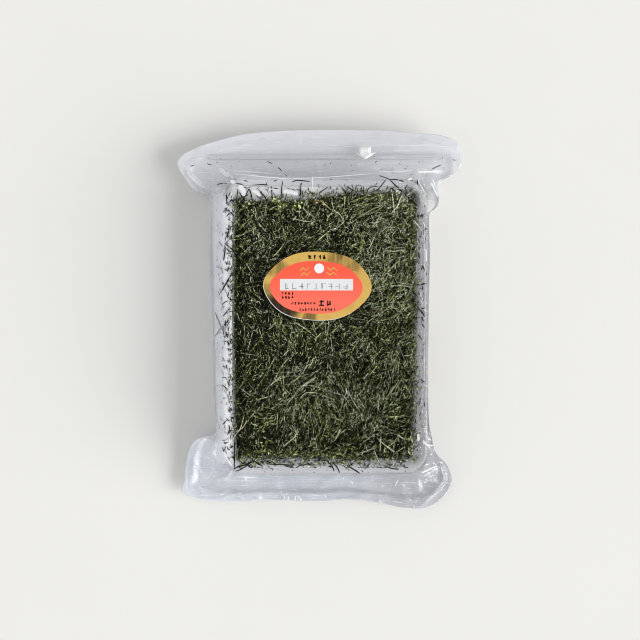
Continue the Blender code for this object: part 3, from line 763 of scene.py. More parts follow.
# The layers of shreds: how many, least, most common and greatest length, widths, how much they bend sideways
# and up, how far in degrees they stray from the grain, and the share with painted glints and how bright they
# are
shreds = {
    "top": {
        "count": 11000, "lengths": (0.007, 0.017, 0.034), "widths": (0.00026, 0.00060), "bend": 0.07,
        "lift": 0.08, "stray": 26, "glints": (0.34, 0.50, 1.25), "looseShare": 0.30, "standingShare": 0.08,
    },
    "bits": {
        "count": 18500, "lengths": (0.0012, 0.0026, 0.0070), "widths": (0.00024, 0.00054), "bend": 0.10,
        "lift": 0.12, "stray": 48, "glints": (0.26, 0.55, 1.35), "stations": 3,
    },
    "sides": {
        "count": 3200, "lengths": (0.008, 0.018, 0.030), "widths": (0.00055, 0.00095), "bend": 0.22,
        "lift": 0.05, "glints": (0.34, 0.50, 1.25),
    },
    "base": {
        "count": 1000, "lengths": (0.008, 0.018, 0.030), "widths": (0.00055, 0.00095), "bend": 0.22,
        "lift": 0.02, "glints": (0.34, 0.50, 1.25),
    },
}
upright = np.array([0.0, 0.0, 1.0])
# How tones and tints vary over the bed: usual value, scatter, strength and cell of patches, what places add,
# and the painted shade that darkens deeper shreds
leafLook = {
    "tone": 0.292, "scatter": 0.30, "patches": ((0.07, 0.018), (0.05, 0.045)), "rim": 0.06, "rightSide": 0.08,
    "upperRight": 0.10, "leftDark": 0.14, "lower": 0.08, "deepPaintedShade": 0.50,
    "tint": 0.62, "tintScatter": 0.14, "tintPatches": (0.14, 0.016), "tintRim": 0.22,
}


def trayRoom(height):
    # Half the room inside the tray's walls at a height
    share = np.clip((height - 0.0038) / (tray["top"] - 0.0038), 0, 1)
    return 0.0638 + (0.0686 - 0.0638) * share, 0.0962 + (0.1010 - 0.0962) * share


def shredPoints(rng, kind, spots, along, up, lengths, clampTop):
    # Corners of three-sided shreds that bend and twist: shred, station, corner, xyz
    count, stations = len(spots), kind.get("stations", nori["stations"])
    widths, bend, lift = rng.uniform(*kind["widths"], count), kind["bend"], kind["lift"]
    along = along / np.linalg.norm(along, axis=1, keepdims=True)
    across = np.cross(up, along)
    across /= np.linalg.norm(across, axis=1, keepdims=True)
    outward = np.cross(along, across)
    t = np.linspace(-0.5, 0.5, stations)[None, :]
    bendBy = rng.normal(0, bend, count)[:, None]
    waveBy = rng.normal(0, bend * 0.35, count)[:, None]
    liftBy = rng.normal(0, lift, count)[:, None]
    size = lengths[:, None]
    wave = np.sin(2 * np.pi * t + rng.uniform(0, 6, count)[:, None])
    sideways = size * (bendBy * (t**2 - 1 / 12) + waveBy * wave * 0.3)
    upwards = size * liftBy * (t**2 - 1 / 12)
    path = (spots[:, None, :] + along[:, None, :] * (size * t)[..., None]
            + across[:, None, :] * sideways[..., None] + outward[:, None, :] * upwards[..., None])
    roomX, roomY = trayRoom(path[..., 2])
    jitter = rng.uniform(0, 0.0012, count)[:, None]
    centre = tray["centre"]
    path[..., 0] = np.clip(path[..., 0], centre[0] - roomX + jitter, centre[0] + roomX - jitter)
    path[..., 1] = np.clip(path[..., 1], centre[1] - roomY + jitter, centre[1] + roomY - jitter)
    path[..., 2] = np.clip(path[..., 2], 0.0021, clampTop)
    roll = (rng.normal(0, 0.38, count)[:, None] + rng.normal(0, 0.5, count)[:, None] * t)[..., None]
    flatWay = across[:, None, :] * np.cos(roll) + outward[:, None, :] * np.sin(roll)
    ridgeWay = outward[:, None, :] * np.cos(roll) - across[:, None, :] * np.sin(roll)
    taper = (1 - 0.55 * (np.abs(t) * 2) ** 4)[..., None] * widths[:, None, None] / 2
    ridgeAt = rng.uniform(-0.5, 0.5, count)[:, None, None]
    thick = rng.uniform(*nori["thickness"], count)[:, None, None]
    reach = flatWay * taper
    return np.stack([path - reach, path + reach, path + flatWay * taper * ridgeAt + ridgeWay * thick], 2)


def stripFaces(count, stations):
    # Faces of three-sided strips, each closed at both ends
    start = np.array([[2, 1, 0]])
    end = np.array([[0, 1, 2]]) + (stations - 1) * 3
    offsets = (np.arange(count) * stations * 3)[:, None, None]
    return [repeated(faces, offsets) for faces in (ringFaces(stations, 3), start, end)]


def shredPiece(name, corners, tones, tints):
    # Tones run along each shred, and each shred has one tint
    count, stations = corners.shape[:2]
    tags = {"leafTone": np.repeat(tones, 3), "leafTint": np.repeat(tints, stations * 3)}
    return meshPiece(name, corners.reshape(-1, 3), stripFaces(count, stations), tags, smooth=False)


def grainAt(x, y):
    # Direction that neighbouring shreds share, which turns across the bed
    turned = nori["grain"] + 62 * softNoise(x, y, 0.026, 21) + 28 * softNoise(x, y, 0.011, 22)
    upperRight = smoothStep(0.02, 0.05, x) * smoothStep(0.02, 0.05, y)
    return np.radians(turned + (38 - turned) * 0.7 * upperRight)


def leafTones(rng, x, y, count):
    # Tone of each shred: darker at the left, more olive towards the edges
    centre = nori["centre"]
    acrossBed = (x - centre[0]) / nori["topHalf"][0]
    alongBed = (y - centre[1]) / nori["topHalf"][1]
    rim = smoothStep(0.90, 1.03, np.maximum(np.abs(acrossBed), np.abs(alongBed)))
    rightSide = smoothStep(0.80, 1.0, acrossBed)
    leftDark = smoothStep(-0.72, -0.95, acrossBed)
    (small, smallCell), (broad, broadCell) = leafLook["patches"]
    patches = small * softNoise(x, y, smallCell, 31) + broad * softNoise(x, y, broadCell, 32)
    base = leafLook["tone"] + patches + rng.normal(0, leafLook["scatter"], count)
    upperRight = smoothStep(0.01, 0.04, x) * smoothStep(0.01, 0.04, y)
    lower = smoothStep(-0.070, -0.085, y)
    look = leafLook
    paler = look["rim"] * rim + look["rightSide"] * rightSide + look["upperRight"] * upperRight
    return np.clip(base + paler - look["leftDark"] * leftDark - look["lower"] * lower, 0.01, 1)


def leafTints(rng, x, y):
    # Tint of each shred: green patches, yellower along the edges, and a few brown ones
    centre, half = nori["centre"], nori["topHalf"]
    outwards = np.maximum(np.abs(x - centre[0]) / half[0], np.abs(y - centre[1]) / half[1])
    rim = smoothStep(0.88, 1.02, outwards)
    strength, cell = leafLook["tintPatches"]
    tints = leafLook["tint"] + strength * softNoise(x, y, cell, 61) + leafLook["tintRim"] * rim
    return np.clip(tints + rng.normal(0, leafLook["tintScatter"], len(x)), 0, 1)


def withPaintedGlints(rng, kind, tones):
    # Painted highlights: short bright stretches along some shreds stand in for glints
    count, (share, least, most) = len(tones), kind["glints"]
    t = np.linspace(0, 1, kind.get("stations", nori["stations"]))[None, :]
    glinting = (rng.uniform(0, 1, count) < share) * rng.uniform(least, most, count)
    middle, wide = rng.uniform(0, 1, count)[:, None], rng.uniform(0.07, 0.22, count)[:, None]
    return np.clip(tones[:, None] + glinting[:, None] * np.exp(-((t - middle) / wide) ** 2), 0, 1)


def surfaceHeight(x, y):
    # The bed's uneven top: hollows and tufts, lower along its edges
    centre = nori["centre"]
    halfX, halfY = nori["topHalf"]
    edge = np.maximum(np.abs(x - centre[0]) / halfX, np.abs(y - centre[1]) / halfY)
    rolling = 0.0008 * softNoise(x, y, 0.022, 41) + 0.0007 * softNoise(x, y, 0.008, 42)
    return nori["top"] + rolling - 0.0016 * smoothStep(0.86, 1.02, edge)


# The bed's edges in the picture
bedEdges = {
    "left": (
        (236.6, 194), (234.4, 212), (232.4, 240), (231.2, 300), (232.0, 400), (234.0, 440), (236.4, 466),
    ),
    "right": (
        (404, 189), (412, 196), (417.4, 206), (420.4, 224), (418.8, 240), (419.0, 300), (419.4, 400),
        (415.4, 434), (410, 466),
    ),
    "head": (
        (234, 199), (262, 199.6), (298, 199.4), (318, 196.2), (336, 193.2), (352, 192.4), (404, 192.0),
    ),
    "foot": (
        (236, 460), (250, 461.4), (300, 464.6), (345, 466), (408, 464.6),
    ),
}


def edgeAt(side, along, seed):
    # How far the bed reaches from its centre on a side, at places along that side
    index = 1 if side in ("left", "right") else 0
    spots = np.array([seenAt(column, row, nori["top"]) for column, row in bedEdges[side]])
    spots = spots - np.array(nori["centre"])
    order = np.argsort(spots[:, index])
    reach = np.interp(along - nori["centre"][index], spots[order, index], np.abs(spots[order, 1 - index]))
    return reach + 0.0010 * softNoise(along, along, 0.005, seed)


def keptInBed(x, y, reachX, reachY):
    # Middles moved in so that no end reaches past the bed's edge by more than its overhang
    centreX, centreY = nori["centre"]
    left, right = -edgeAt("left", y, 45) - reachX, edgeAt("right", y, 46) + reachX
    keptX = centreX + np.clip(x - centreX, left, right)
    foot, head = -edgeAt("foot", keptX, 44) - reachY, edgeAt("head", keptX, 43) + reachY
    return keptX, centreY + np.clip(y - centreY, foot, head)


def spreadOver(rng, count, half, inset):
    # Spots at random over the bed
    centre = nori["centre"]
    x = centre[0] + rng.uniform(-1, 1, count) * (half[0] - inset)
    return x, centre[1] + rng.uniform(-1, 1, count) * (half[1] - inset)


def topShreds(rng, kind):
    count = kind["count"]
    lengths = rng.triangular(*kind["lengths"], count)
    x, y = spreadOver(rng, count, nori["topHalf"], 0.001)
    turn = grainAt(x, y) + rng.normal(0, math.radians(kind["stray"]), count)
    loose = rng.uniform(0, 1, count) < kind["looseShare"]
    turn = np.where(loose, rng.uniform(0, math.pi, count), turn)
    # Most shreds end within the bed, and a few stick out past its edge
    standing = rng.uniform(0, 1, count) < kind["standingShare"]
    overhang = np.where(standing, rng.uniform(0.001, 0.0050, count), rng.uniform(-0.0034, 0.0014, count))
    reachX, reachY = np.abs(np.cos(turn)) * lengths / 2, np.abs(np.sin(turn)) * lengths / 2
    x, y = keptInBed(x, y, overhang - reachX, overhang - reachY)
    depth = rng.uniform(0, 1, count) * nori["depth"]
    z = surfaceHeight(x, y) - depth
    tilt = rng.normal(0, math.radians(6.0), count)
    along = np.stack([np.cos(turn), np.sin(turn), np.tan(tilt)], -1)
    corners = shredPoints(rng, kind, np.stack([x, y, z], -1), along, upright, lengths, nori["ceiling"])
    # Painted shade: the deeper a shred lies, the darker its tone
    tones = leafTones(rng, x, y, count) - depth / nori["depth"] * leafLook["deepPaintedShade"]
    return corners, withPaintedGlints(rng, kind, np.clip(tones, 0.02, 1)), leafTints(rng, x, y)


def brokenBits(rng, kind):
    # Short broken ends and bits that lie over the longer shreds
    count = kind["count"]
    lengths = rng.triangular(*kind["lengths"], count)
    x, y = spreadOver(rng, count, nori["topHalf"], 0.0015)
    inwards = rng.uniform(-0.0030, 0.0004, count)
    x, y = keptInBed(x, y, inwards, inwards)
    turn = grainAt(x, y) + rng.normal(0, math.radians(kind["stray"]), count)
    z = surfaceHeight(x, y) - rng.uniform(-0.0008, 0.0026, count)
    along = np.stack([np.cos(turn), np.sin(turn), rng.normal(0, 0.30, count)], -1)
    corners = shredPoints(rng, kind, np.stack([x, y, z], -1), along, upright, lengths, nori["ceiling"])
    tones = np.clip(leafTones(rng, x, y, count) + 0.02 + rng.normal(0, 0.10, count), 0.02, 1)
    return corners, withPaintedGlints(rng, kind, tones), leafTints(rng, x, y)


def sideShreds(rng, kind):
    cornersList, tonesList, tintsList = [], [], []
    sides = ((1, 0), (0, 1), (-1, 0), (0, -1))
    girth = sum(nori["topHalf"][1] if outX else nori["topHalf"][0] for outX, _ in sides)
    for outX, outY in sides:
        width = nori["topHalf"][1] if outX else nori["topHalf"][0]
        count = round(kind["count"] * width / girth)
        lengths = rng.triangular(*kind["lengths"], count)
        lean = rng.uniform(-0.9, 0.9, count)
        reachUp = np.abs(np.sin(lean)) * lengths / 2
        low, high = nori["bottom"] + 0.001, nori["top"] - 0.001
        height = rng.uniform(0, 1, count)
        z = low + reachUp + height * np.maximum(0, high - low - 2 * reachUp)
        share = (z - nori["bottom"]) / (nori["top"] - nori["bottom"])
        index = 0 if outX else 1
        half = nori["floorHalf"][index] + (nori["topHalf"][index] - nori["floorHalf"][index]) * share
        off = half + rng.uniform(-0.0030, 0.0012, count)
        slide = rng.uniform(-1, 1, count) * (width - 0.004 - np.abs(np.cos(lean)) * lengths * 0.4)
        if outY > 0:
            off = off + edgeAt("head", nori["centre"][0] - slide, 43) - nori["topHalf"][1]
        out = np.array([outX, outY, 0.0])
        sideWay = np.array([-outY, outX, 0.0])
        spots = out[None] * off[:, None] + sideWay[None] * slide[:, None]
        spots[:, 0] += nori["centre"][0]
        spots[:, 1] += nori["centre"][1]
        spots[:, 2] = z
        spots[:, 0], spots[:, 1] = keptInBed(spots[:, 0], spots[:, 1], 0, 0)
        slope = (nori["topHalf"][0] - nori["floorHalf"][0]) / (nori["top"] - nori["bottom"])
        upward = (np.array([0, 0, 1.0]) + out * slope) / math.hypot(1, slope)
        facing = np.cross(upward, sideWay)
        facing = facing if facing @ out > 0 else -facing
        tilt = rng.normal(0, 0.06, count)
        along = np.cos(lean)[:, None] * sideWay + np.sin(lean)[:, None] * upward + tilt[:, None] * facing
        cornersList.append(shredPoints(rng, kind, spots, along, facing, lengths, 0.0358))
        tonesList.append(withPaintedGlints(rng, kind, np.clip(rng.normal(0.36, 0.14, count), 0.02, 1)))
        tintsList.append(leafTints(rng, spots[:, 0], spots[:, 1]))
    return np.concatenate(cornersList), np.concatenate(tonesList), np.concatenate(tintsList)


def baseShreds(rng, kind):
    count = kind["count"]
    lengths = rng.triangular(*kind["lengths"], count)
    x, y = spreadOver(rng, count, nori["floorHalf"], 0.004)
    turn = rng.uniform(0, math.pi, count)
    z = nori["bottom"] - 0.0008 + rng.uniform(0, 1, count) * 0.0020
    along = np.stack([np.cos(turn), np.sin(turn), rng.normal(0, 0.02, count)], -1)
    corners = shredPoints(rng, kind, np.stack([x, y, z], -1), along, -upright, lengths, 0.010)
    tones = withPaintedGlints(rng, kind, np.clip(rng.normal(0.34, 0.14, count), 0.02, 1))
    return corners, tones, leafTints(rng, x, y)


def makeCore():
    # The dense inside of the bed, seen only between the shreds: its near-black tone is painted shade for the
    # gaps
    steps = 30
    rings = []
    under, over = nori["bottom"] + 0.0012, 0.0266
    levels = np.concatenate([np.full(6, under), np.linspace(nori["bottom"] + 0.0014, 0.0262, 14),
                             np.full(9, over)])
    insets = np.concatenate([np.linspace(0.050, 0.002, 6), np.full(14, 0.0015), np.linspace(0.003, 0.055, 9)])
    for level, inset in zip(levels, insets):
        share = (level - nori["bottom"]) / (nori["top"] - nori["bottom"])
        halfX = nori["floorHalf"][0] + (nori["topHalf"][0] - nori["floorHalf"][0]) * share - inset
        halfY = nori["floorHalf"][1] + (nori["topHalf"][1] - nori["floorHalf"][1]) * share - inset
        flat = roundedRectangle(2 * halfX, 2 * halfY, max(0.003, 0.009 - inset * 0.1), nori["centre"], steps)
        rings.append(np.column_stack([flat, np.full(len(flat), level)]))
    rings = np.array(rings)
    bump = 0.0009 * softNoise(rings[..., 0] + rings[..., 2], rings[..., 1] - rings[..., 2], 0.006, 51)
    rings = rings + ringNormals(rings) * (bump - 0.0006)[..., None]
    rings[..., 0], rings[..., 1] = keptInBed(rings[..., 0], rings[..., 1], -0.0035, -0.0040)
    tone = 0.06 + 0.05 * softNoise(rings[..., 0], rings[..., 1], 0.004, 52)
    return solidRings("nori_core", rings, {"leafTone": tone.ravel(), "leafTint": np.full(tone.size, 0.6)})


noriRandom = np.random.default_rng(nori["seed"])
core = makeCore()
finishPiece(core, leafMaterial, "nori", "shredded_nori")
# Each layer's function and how many of its shreds make one piece
noriLayers = {
    "top": (topShreds, 5600), "bits": (brokenBits, 12500), "sides": (sideShreds, 5600),
    "base": (baseShreds, 5600),
}
for layer, (makeShreds, perPiece) in noriLayers.items():
    corners, tones, tints = makeShreds(noriRandom, shreds[layer])
    for part, first in enumerate(range(0, len(corners), perPiece)):
        chosen = slice(first, first + perPiece)
        piece = shredPiece(f"nori_{layer}_{part + 1}", corners[chosen], tones[chosen], tints[chosen])
        finishPiece(piece, leafMaterial, "nori", "shredded_nori")
print("Nori made")


# Loose shreds under the film: spots in the picture and width in mm

darkStrays = (
    (((225.5, 170), (229, 176), (232, 179.5)), 0.8), (((231, 179.3), (236.5, 178.8)), 0.6),
    (((217, 184.5), (222, 183.2), (227, 183.3)), 0.8), (((236, 183.3), (243, 184.3)), 0.7),
    (((252, 185.3), (262, 184.4), (268, 185.0)), 0.7), (((244, 180), (247.5, 181.5)), 0.6),
    (((267, 161), (272, 163.6)), 0.7), (((278, 167.2), (282, 171)), 0.8),
    (((284.6, 173.8), (287.2, 176.3)), 0.8), (((274, 181.6), (277, 179.4)), 0.6),
    (((292, 182.2), (296, 180), (303, 180.6), (310, 181.6)), 0.7), (((190, 166.2), (194, 165)), 0.6),
    (((207.2, 162.8), (208.6, 164.6), (211.5, 164.4)), 0.6), (((185.2, 163.4), (186.5, 162)), 0.6),
    (((216, 162), (218.2, 162.2)), 0.5), (((271.3, 186), (271.8, 192), (272.3, 199)), 0.8),
    (((282.6, 181), (281.6, 189), (281, 199)), 0.7), (((286.6, 192), (285.4, 200)), 0.6),
    (((300.5, 185), (300, 200)), 0.6), (((249, 188.6), (244, 198), (242.5, 201)), 0.8),
    (((249, 188.6), (251.5, 195), (252.2, 201)), 0.8), (((239.2, 192), (244.8, 200)), 0.7),
    (((260, 191), (265, 197), (267, 202)), 0.8), (((237.6, 189), (236.4, 203)), 0.7),
    (((379.2, 175.5), (386, 177.6), (389.4, 179.2)), 0.8),
    (((389.4, 179.2), (401, 190.6), (408, 197.2), (417.1, 206.5)), 0.9),
    (((386, 179.7), (376.4, 191.7)), 0.7), (((389, 179.5), (398, 179.3)), 0.6),
    (((430, 170.4), (435, 167.4), (441, 164.9)), 0.9), (((453.2, 159.3), (455, 160.4), (457, 159.2)), 0.6),
    (((375, 163), (377, 160.7)), 0.5), (((417.2, 179.2), (417.6, 184.8)), 0.9),
    (((399, 180), (403.7, 181.5)), 0.8), (((341.3, 187), (346.4, 194)), 0.8),
    (((346.8, 186), (353.8, 191.2)), 0.8), (((363.5, 186.6), (363.5, 194)), 0.6),
    (((328.3, 186.6), (319, 193)), 0.7), (((370, 186), (377, 186.2)), 0.6),
    (((375.5, 184.8), (377.3, 182.9)), 0.6), (((226, 193), (226.6, 199), (227, 205)), 0.8),
    (((230, 201.3), (236, 199.4)), 0.8), (((229, 207), (229.4, 215)), 0.6),
    (((225, 209), (229, 211), (234, 216)), 0.8), (((229.4, 227.6), (234, 225.4)), 0.7),
    (((227.5, 233), (227.6, 238.4)), 0.7), (((219, 241.5), (222.5, 246.5)), 0.8),
    (((224.5, 243), (234, 251)), 0.8), (((225, 245), (225, 251), (223.5, 260.5)), 0.9),
    (((226.5, 248), (231, 254)), 0.8), (((218, 267.5), (222.5, 268.5)), 0.7),
    (((224.5, 269.5), (228, 270.5)), 0.7), (((232, 273), (227.4, 281.6), (222, 290), (218.6, 295.6)), 1.0),
    (((222, 282), (224, 284)), 0.7), (((227.4, 285.6), (233, 292.4)), 0.7),
    (((221.6, 296), (221.8, 302)), 0.5), (((222, 305), (224, 302.6), (228, 300.8)), 0.6),
    (((223, 316.4), (229.6, 308)), 0.7), (((215.2, 312.4), (218.6, 321), (223, 331)), 0.9),
    (((225, 320), (226, 327)), 0.8), (((214.6, 337), (220, 329), (229, 320)), 0.8),
    (((234.3, 440), (234.6, 452), (234.2, 470)), 0.8), (((229, 425), (230, 433)), 0.7),
    (((233.6, 469.6), (235.4, 467.9), (242.5, 465.6), (248.8, 464.3), (251.4, 460.7)), 0.9),
    (((235.4, 471.4), (240.7, 469.6), (247.9, 465.2)), 0.7), (((251.4, 459), (260.8, 465.6)), 0.8),
    (((291.2, 467.9), (294.3, 463.4)), 0.7), (((267, 464.2), (280, 464.6), (292, 465)), 0.6),
    (((299, 464.7), (305, 465.2)), 0.6), (((222.4, 447.3), (223.8, 451.8)), 0.7),
    (((227.3, 448.7), (229.6, 450.2)), 0.7),
    (((327, 460.7), (331.6, 465.6), (333.4, 468.8), (333.9, 471.4)), 0.8),
    (((331.6, 461.6), (336, 465.6), (338.6, 469.8), (339.6, 473.2)), 0.8),
    (((346.8, 465.2), (353, 469), (360.2, 473.7)), 0.9), (((365, 468.8), (370, 463.4)), 0.8),
    (((362, 470.5), (363.2, 471.7)), 0.7), (((383.8, 465.6), (391, 468.4), (398.6, 469.6)), 0.8),
    (((417, 215.4), (422, 215.5)), 0.6), (((423.4, 231), (424.6, 229.2), (427, 228.6)), 0.7),
    (((422.3, 265), (424.6, 270), (427, 275.4)), 0.7), (((415.6, 285), (420, 285), (426.8, 283.4)), 0.8),
    (((422.8, 286), (422.6, 290)), 0.7), (((413, 291), (418.5, 298)), 0.7),
    (((417, 306), (425.5, 317)), 0.8), (((421, 317), (424, 321)), 0.7), (((421.5, 323.5), (425, 328)), 0.8),
    (((418, 334), (422, 340)), 0.7), (((412, 200), (418, 206)), 0.8),
)
# Pale strays: shreds given a pale tone as painted highlights along them
paintedGlintStrays = (
    (((332, 209), (341, 215), (344, 224)), 0.54), (((329, 230), (337, 228), (343, 223)), 0.48),
    (((378, 439), (387, 447), (395, 452)), 0.61), (((374, 450), (378, 460)), 0.54),
    (((232, 440), (236, 434), (240, 431), (244, 415)), 0.61),
    (((303, 208), (311, 215), (315, 217.6)), 0.61), (((292, 218), (303, 221), (311, 221.6)), 0.54),
    (((298, 428), (296, 436), (283, 447)), 0.61), (((298, 435), (292, 425)), 0.54),
    (((391.6, 189), (393.6, 205), (395, 215)), 0.61), (((402, 195), (397.6, 206), (391, 214)), 0.54),
    (((413.6, 220), (420, 227.6)), 0.68), (((388, 252), (397, 251), (406, 250)), 0.54),
    (((390, 286), (400, 285.6), (409, 286.4)), 0.54), (((320, 200), (327, 206), (331, 210)), 0.48),
    (((381, 436), (380, 452)), 0.54), (((400, 434), (394, 442), (393.6, 455)), 0.48),
    (((404, 447), (393.4, 455)), 0.54), (((334.6, 441), (340, 431)), 0.61),
    (((397.6, 435), (403.8, 439)), 0.61), (((306, 385), (316, 377)), 0.54),
    (((372, 228), (380, 216)), 0.48), (((361, 216), (374, 208), (382, 206)), 0.48),
    (((236, 432), (243, 428), (247, 420)), 0.48), (((258, 222), (264, 230)), 0.48),
)
# Margins that hold more of them at random: box in the picture, how many, direction in degrees, lengths there
looseAreas = (
    ((222, 196, 234, 462), 130, 90, (2, 9)), ((227, 200, 234, 462), 110, 90, (2, 7)),
    ((216, 232, 224, 430), 26, 80, (1, 6)), ((414, 200, 425, 455), 70, 100, (2, 8)),
    ((238, 186, 415, 199), 75, 90, (3, 10)), ((238, 458, 412, 468), 80, 20, (2, 9)),
    ((190, 156, 452, 182), 34, 20, (0.8, 2.6)), ((240, 467, 410, 474), 22, 30, (0.8, 2.0)),
    ((216, 200, 226, 430), 40, 90, (0.6, 1.8)),
)

# The bed's olive fringe, placed the same way
fringeAreas = (
    ((228.5, 200, 236, 462), 150, 90, (2, 8)), ((411, 206, 420, 455), 200, 95, (2, 9)),
    ((404, 432, 414, 462), 60, 90, (3, 10)), ((345, 190, 402, 195), 80, 60, (2, 7)),
    ((300, 194, 345, 199), 50, 70, (2, 8)), ((238, 196, 300, 201), 50, 80, (2, 6)),
    ((240, 451, 345, 466), 330, 20, (2, 9)), ((345, 456, 405, 468), 100, 20, (2, 9)),
    ((236, 458, 262, 467), 30, 20, (3, 9)),
)


# Fine pale needles that lie on the bed, most of them at its upper right, placed the same way; their pale tone
# paints glints
needleAreas = (
    ((328, 200, 408, 240), 130, 32, (3, 12)), ((366, 240, 414, 330), 210, 84, (2, 9)),
    ((366, 240, 408, 300), 30, 4, (6, 16)), ((280, 330, 412, 445), 230, 40, (2, 8)),
    ((240, 210, 330, 262), 130, 62, (2, 7)), ((240, 320, 300, 445), 110, 80, (2, 6)),
    ((250, 445, 405, 460), 40, 30, (2, 7)),
)


def strayPiece(name, lines, tone, below, stations, seed, tint=0.5):
    rng = np.random.default_rng(seed)
    corners = layOnFilm(lines, below, 0.00012, stations)
    spread = 0.06 + 0.2 * tone * (tint > 0.5)
    tones = np.clip(tone + rng.normal(0, spread, (len(lines), 1)) + np.zeros(corners.shape[1]), 0.02, 1)
    tints = np.clip(rng.normal(tint, 0.10, len(lines)), 0, 1)
    finishPiece(shredPiece(name, corners, tones, tints), leafMaterial, "nori", "shredded_nori")


def looseLines(seed, areas, widths=(0.30, 0.70)):
    # Lines at random in each area, without those that reach past the film
    rng = np.random.default_rng(seed)
    lines = []
    for (column0, row0, column1, row1), count, direction, (shortest, longest) in areas:
        for _ in range(count):
            column, row = rng.uniform(column0, column1), rng.uniform(row0, row1)
            turn = math.radians(direction) + rng.normal(0, 0.75)
            reach = rng.uniform(shortest, longest) * rng.uniform(0.5, 1.0)
            bow = rng.normal(0, 0.16) * reach
            stepX, stepY = math.cos(turn), -math.sin(turn)
            middle = (column + stepX * reach / 2 - stepY * bow, row + stepY * reach / 2 + stepX * bow)
            spots = ((column, row), middle, (column + stepX * reach, row + stepY * reach))
            width = rng.uniform(*widths)
            if all(overFilm(*spot) for spot in spots):
                lines.append((spots, width))
    return lines


strayPiece("nori_strays_dark", darkStrays, 0.13, 0.00045, 11, 71)
strayPiece("nori_strays_loose", looseLines(72, looseAreas), 0.17, 0.00045, 5, 73)
strayPiece("nori_fringe", looseLines(75, fringeAreas), 0.48, 0.00060, 5, 76, 0.72)
needleWidths = (0.22, 0.40)
strayPiece("nori_needles", looseLines(78, needleAreas, needleWidths), 0.74, 0.00070, 3, 79, 0.48)
strayPiece("nori_strays_painted_glint", paintedGlintStrays, 0.80, 0.00045, 9, 74)
print("Loose shreds made")


# Flakes of unshredded leaf on the bed: box in the picture, how many, tone, tint and size
flakeAreas = (
    ((243, 201, 253, 207), 6, 0.50, 0.66, 2.0), ((249, 206, 257, 213), 5, 0.56, 0.50, 1.7),
    ((256, 208, 266, 218), 5, 0.54, 0.45, 1.0), ((276, 200, 286, 208), 6, 0.50, 0.80, 2.0),
    ((277, 210, 285, 218), 5, 0.48, 0.80, 1.6), ((291, 200, 303, 208), 12, 0.60, 0.85, 1.1),
    ((290, 208, 306, 222), 8, 0.60, 0.92, 0.8), ((316, 197, 326, 207), 9, 0.60, 0.10, 1.0),
    ((305, 200, 330, 220), 12, 0.34, 0.20, 0.8), ((236, 440, 262, 460), 16, 0.34, 0.10, 0.9),
    ((258, 440, 268, 456), 8, 0.60, 0.95, 0.7), ((268, 452, 345, 463), 34, 0.55, 0.85, 0.7),
    ((345, 441, 360, 464), 12, 0.55, 0.85, 0.6), ((376, 193, 402, 200), 16, 0.62, 0.75, 1.1),
    ((404, 205, 418, 240), 20, 0.60, 0.85, 0.6), ((408, 240, 417, 440), 60, 0.55, 0.88, 0.5),
    ((233, 200, 238, 300), 30, 0.56, 0.90, 0.5), ((233, 300, 237, 440), 30, 0.46, 0.85, 0.5),
    ((252, 370, 262, 384), 8, 0.62, 0.95, 0.6),
)


def makeFlakes(seed):
    # Thin plates with torn outlines, at their own slants
    rng = np.random.default_rng(seed)
    corners, count = 6, sum(area[1] for area in flakeAreas)
    turn = np.linspace(0, 2 * np.pi, corners, endpoint=False)
    points, tones, tints = [], [], []
    for (column0, row0, column1, row1), howMany, tone, tint, size in flakeAreas:
        for _ in range(howMany):
            column, row = rng.uniform(column0, column1), rng.uniform(row0, row1)
            x, y, z = onFilm(column, row, rng.uniform(0.0010, 0.0020))
            radius = size * rng.uniform(0.0008, 0.0024) * rng.uniform(0.35, 1.3, corners)
            stretch, spin = rng.uniform(0.22, 0.75), rng.uniform(0, np.pi)
            across, along = radius * np.cos(turn), radius * np.sin(turn) * stretch
            flatX = across * np.cos(spin) - along * np.sin(spin)
            flatY = across * np.sin(spin) + along * np.cos(spin)
            slantX, slantY = rng.normal(0, 0.25, 2)
            top = np.stack([x + flatX, y + flatY, z + slantX * flatX + slantY * flatY], -1)
            top[:, 2] = np.minimum(top[:, 2], z + 0.0007)
            points.append(np.concatenate([top - np.array([0, 0, 0.00006]), top]))
            uneven = rng.normal(0, 0.10) + rng.normal(0, 0.10, corners * 2)
            tones.append(np.clip(tone - 0.04 + uneven, 0.03, 1))
            tints.append(np.full(corners * 2, np.clip(tint - 0.08 + rng.normal(0, 0.1), 0, 1)))
    offsets = (np.arange(count) * corners * 2)[:, None, None]
    cap = np.arange(corners)[None, :]
    sets = [repeated(faces, offsets) for faces in (ringFaces(2, corners), cap[:, ::-1], cap + corners)]
    tags = {"leafTone": np.concatenate(tones), "leafTint": np.concatenate(tints)}
    flakes = meshPiece("nori_flakes", np.concatenate(points), sets, tags, smooth=False)
    finishPiece(flakes, leafMaterial, "nori", "shredded_nori")


makeFlakes(81)
print("Flakes made")


# Painted highlights along the film's creases, painted shade lines, and the tear line and arrow printed on it

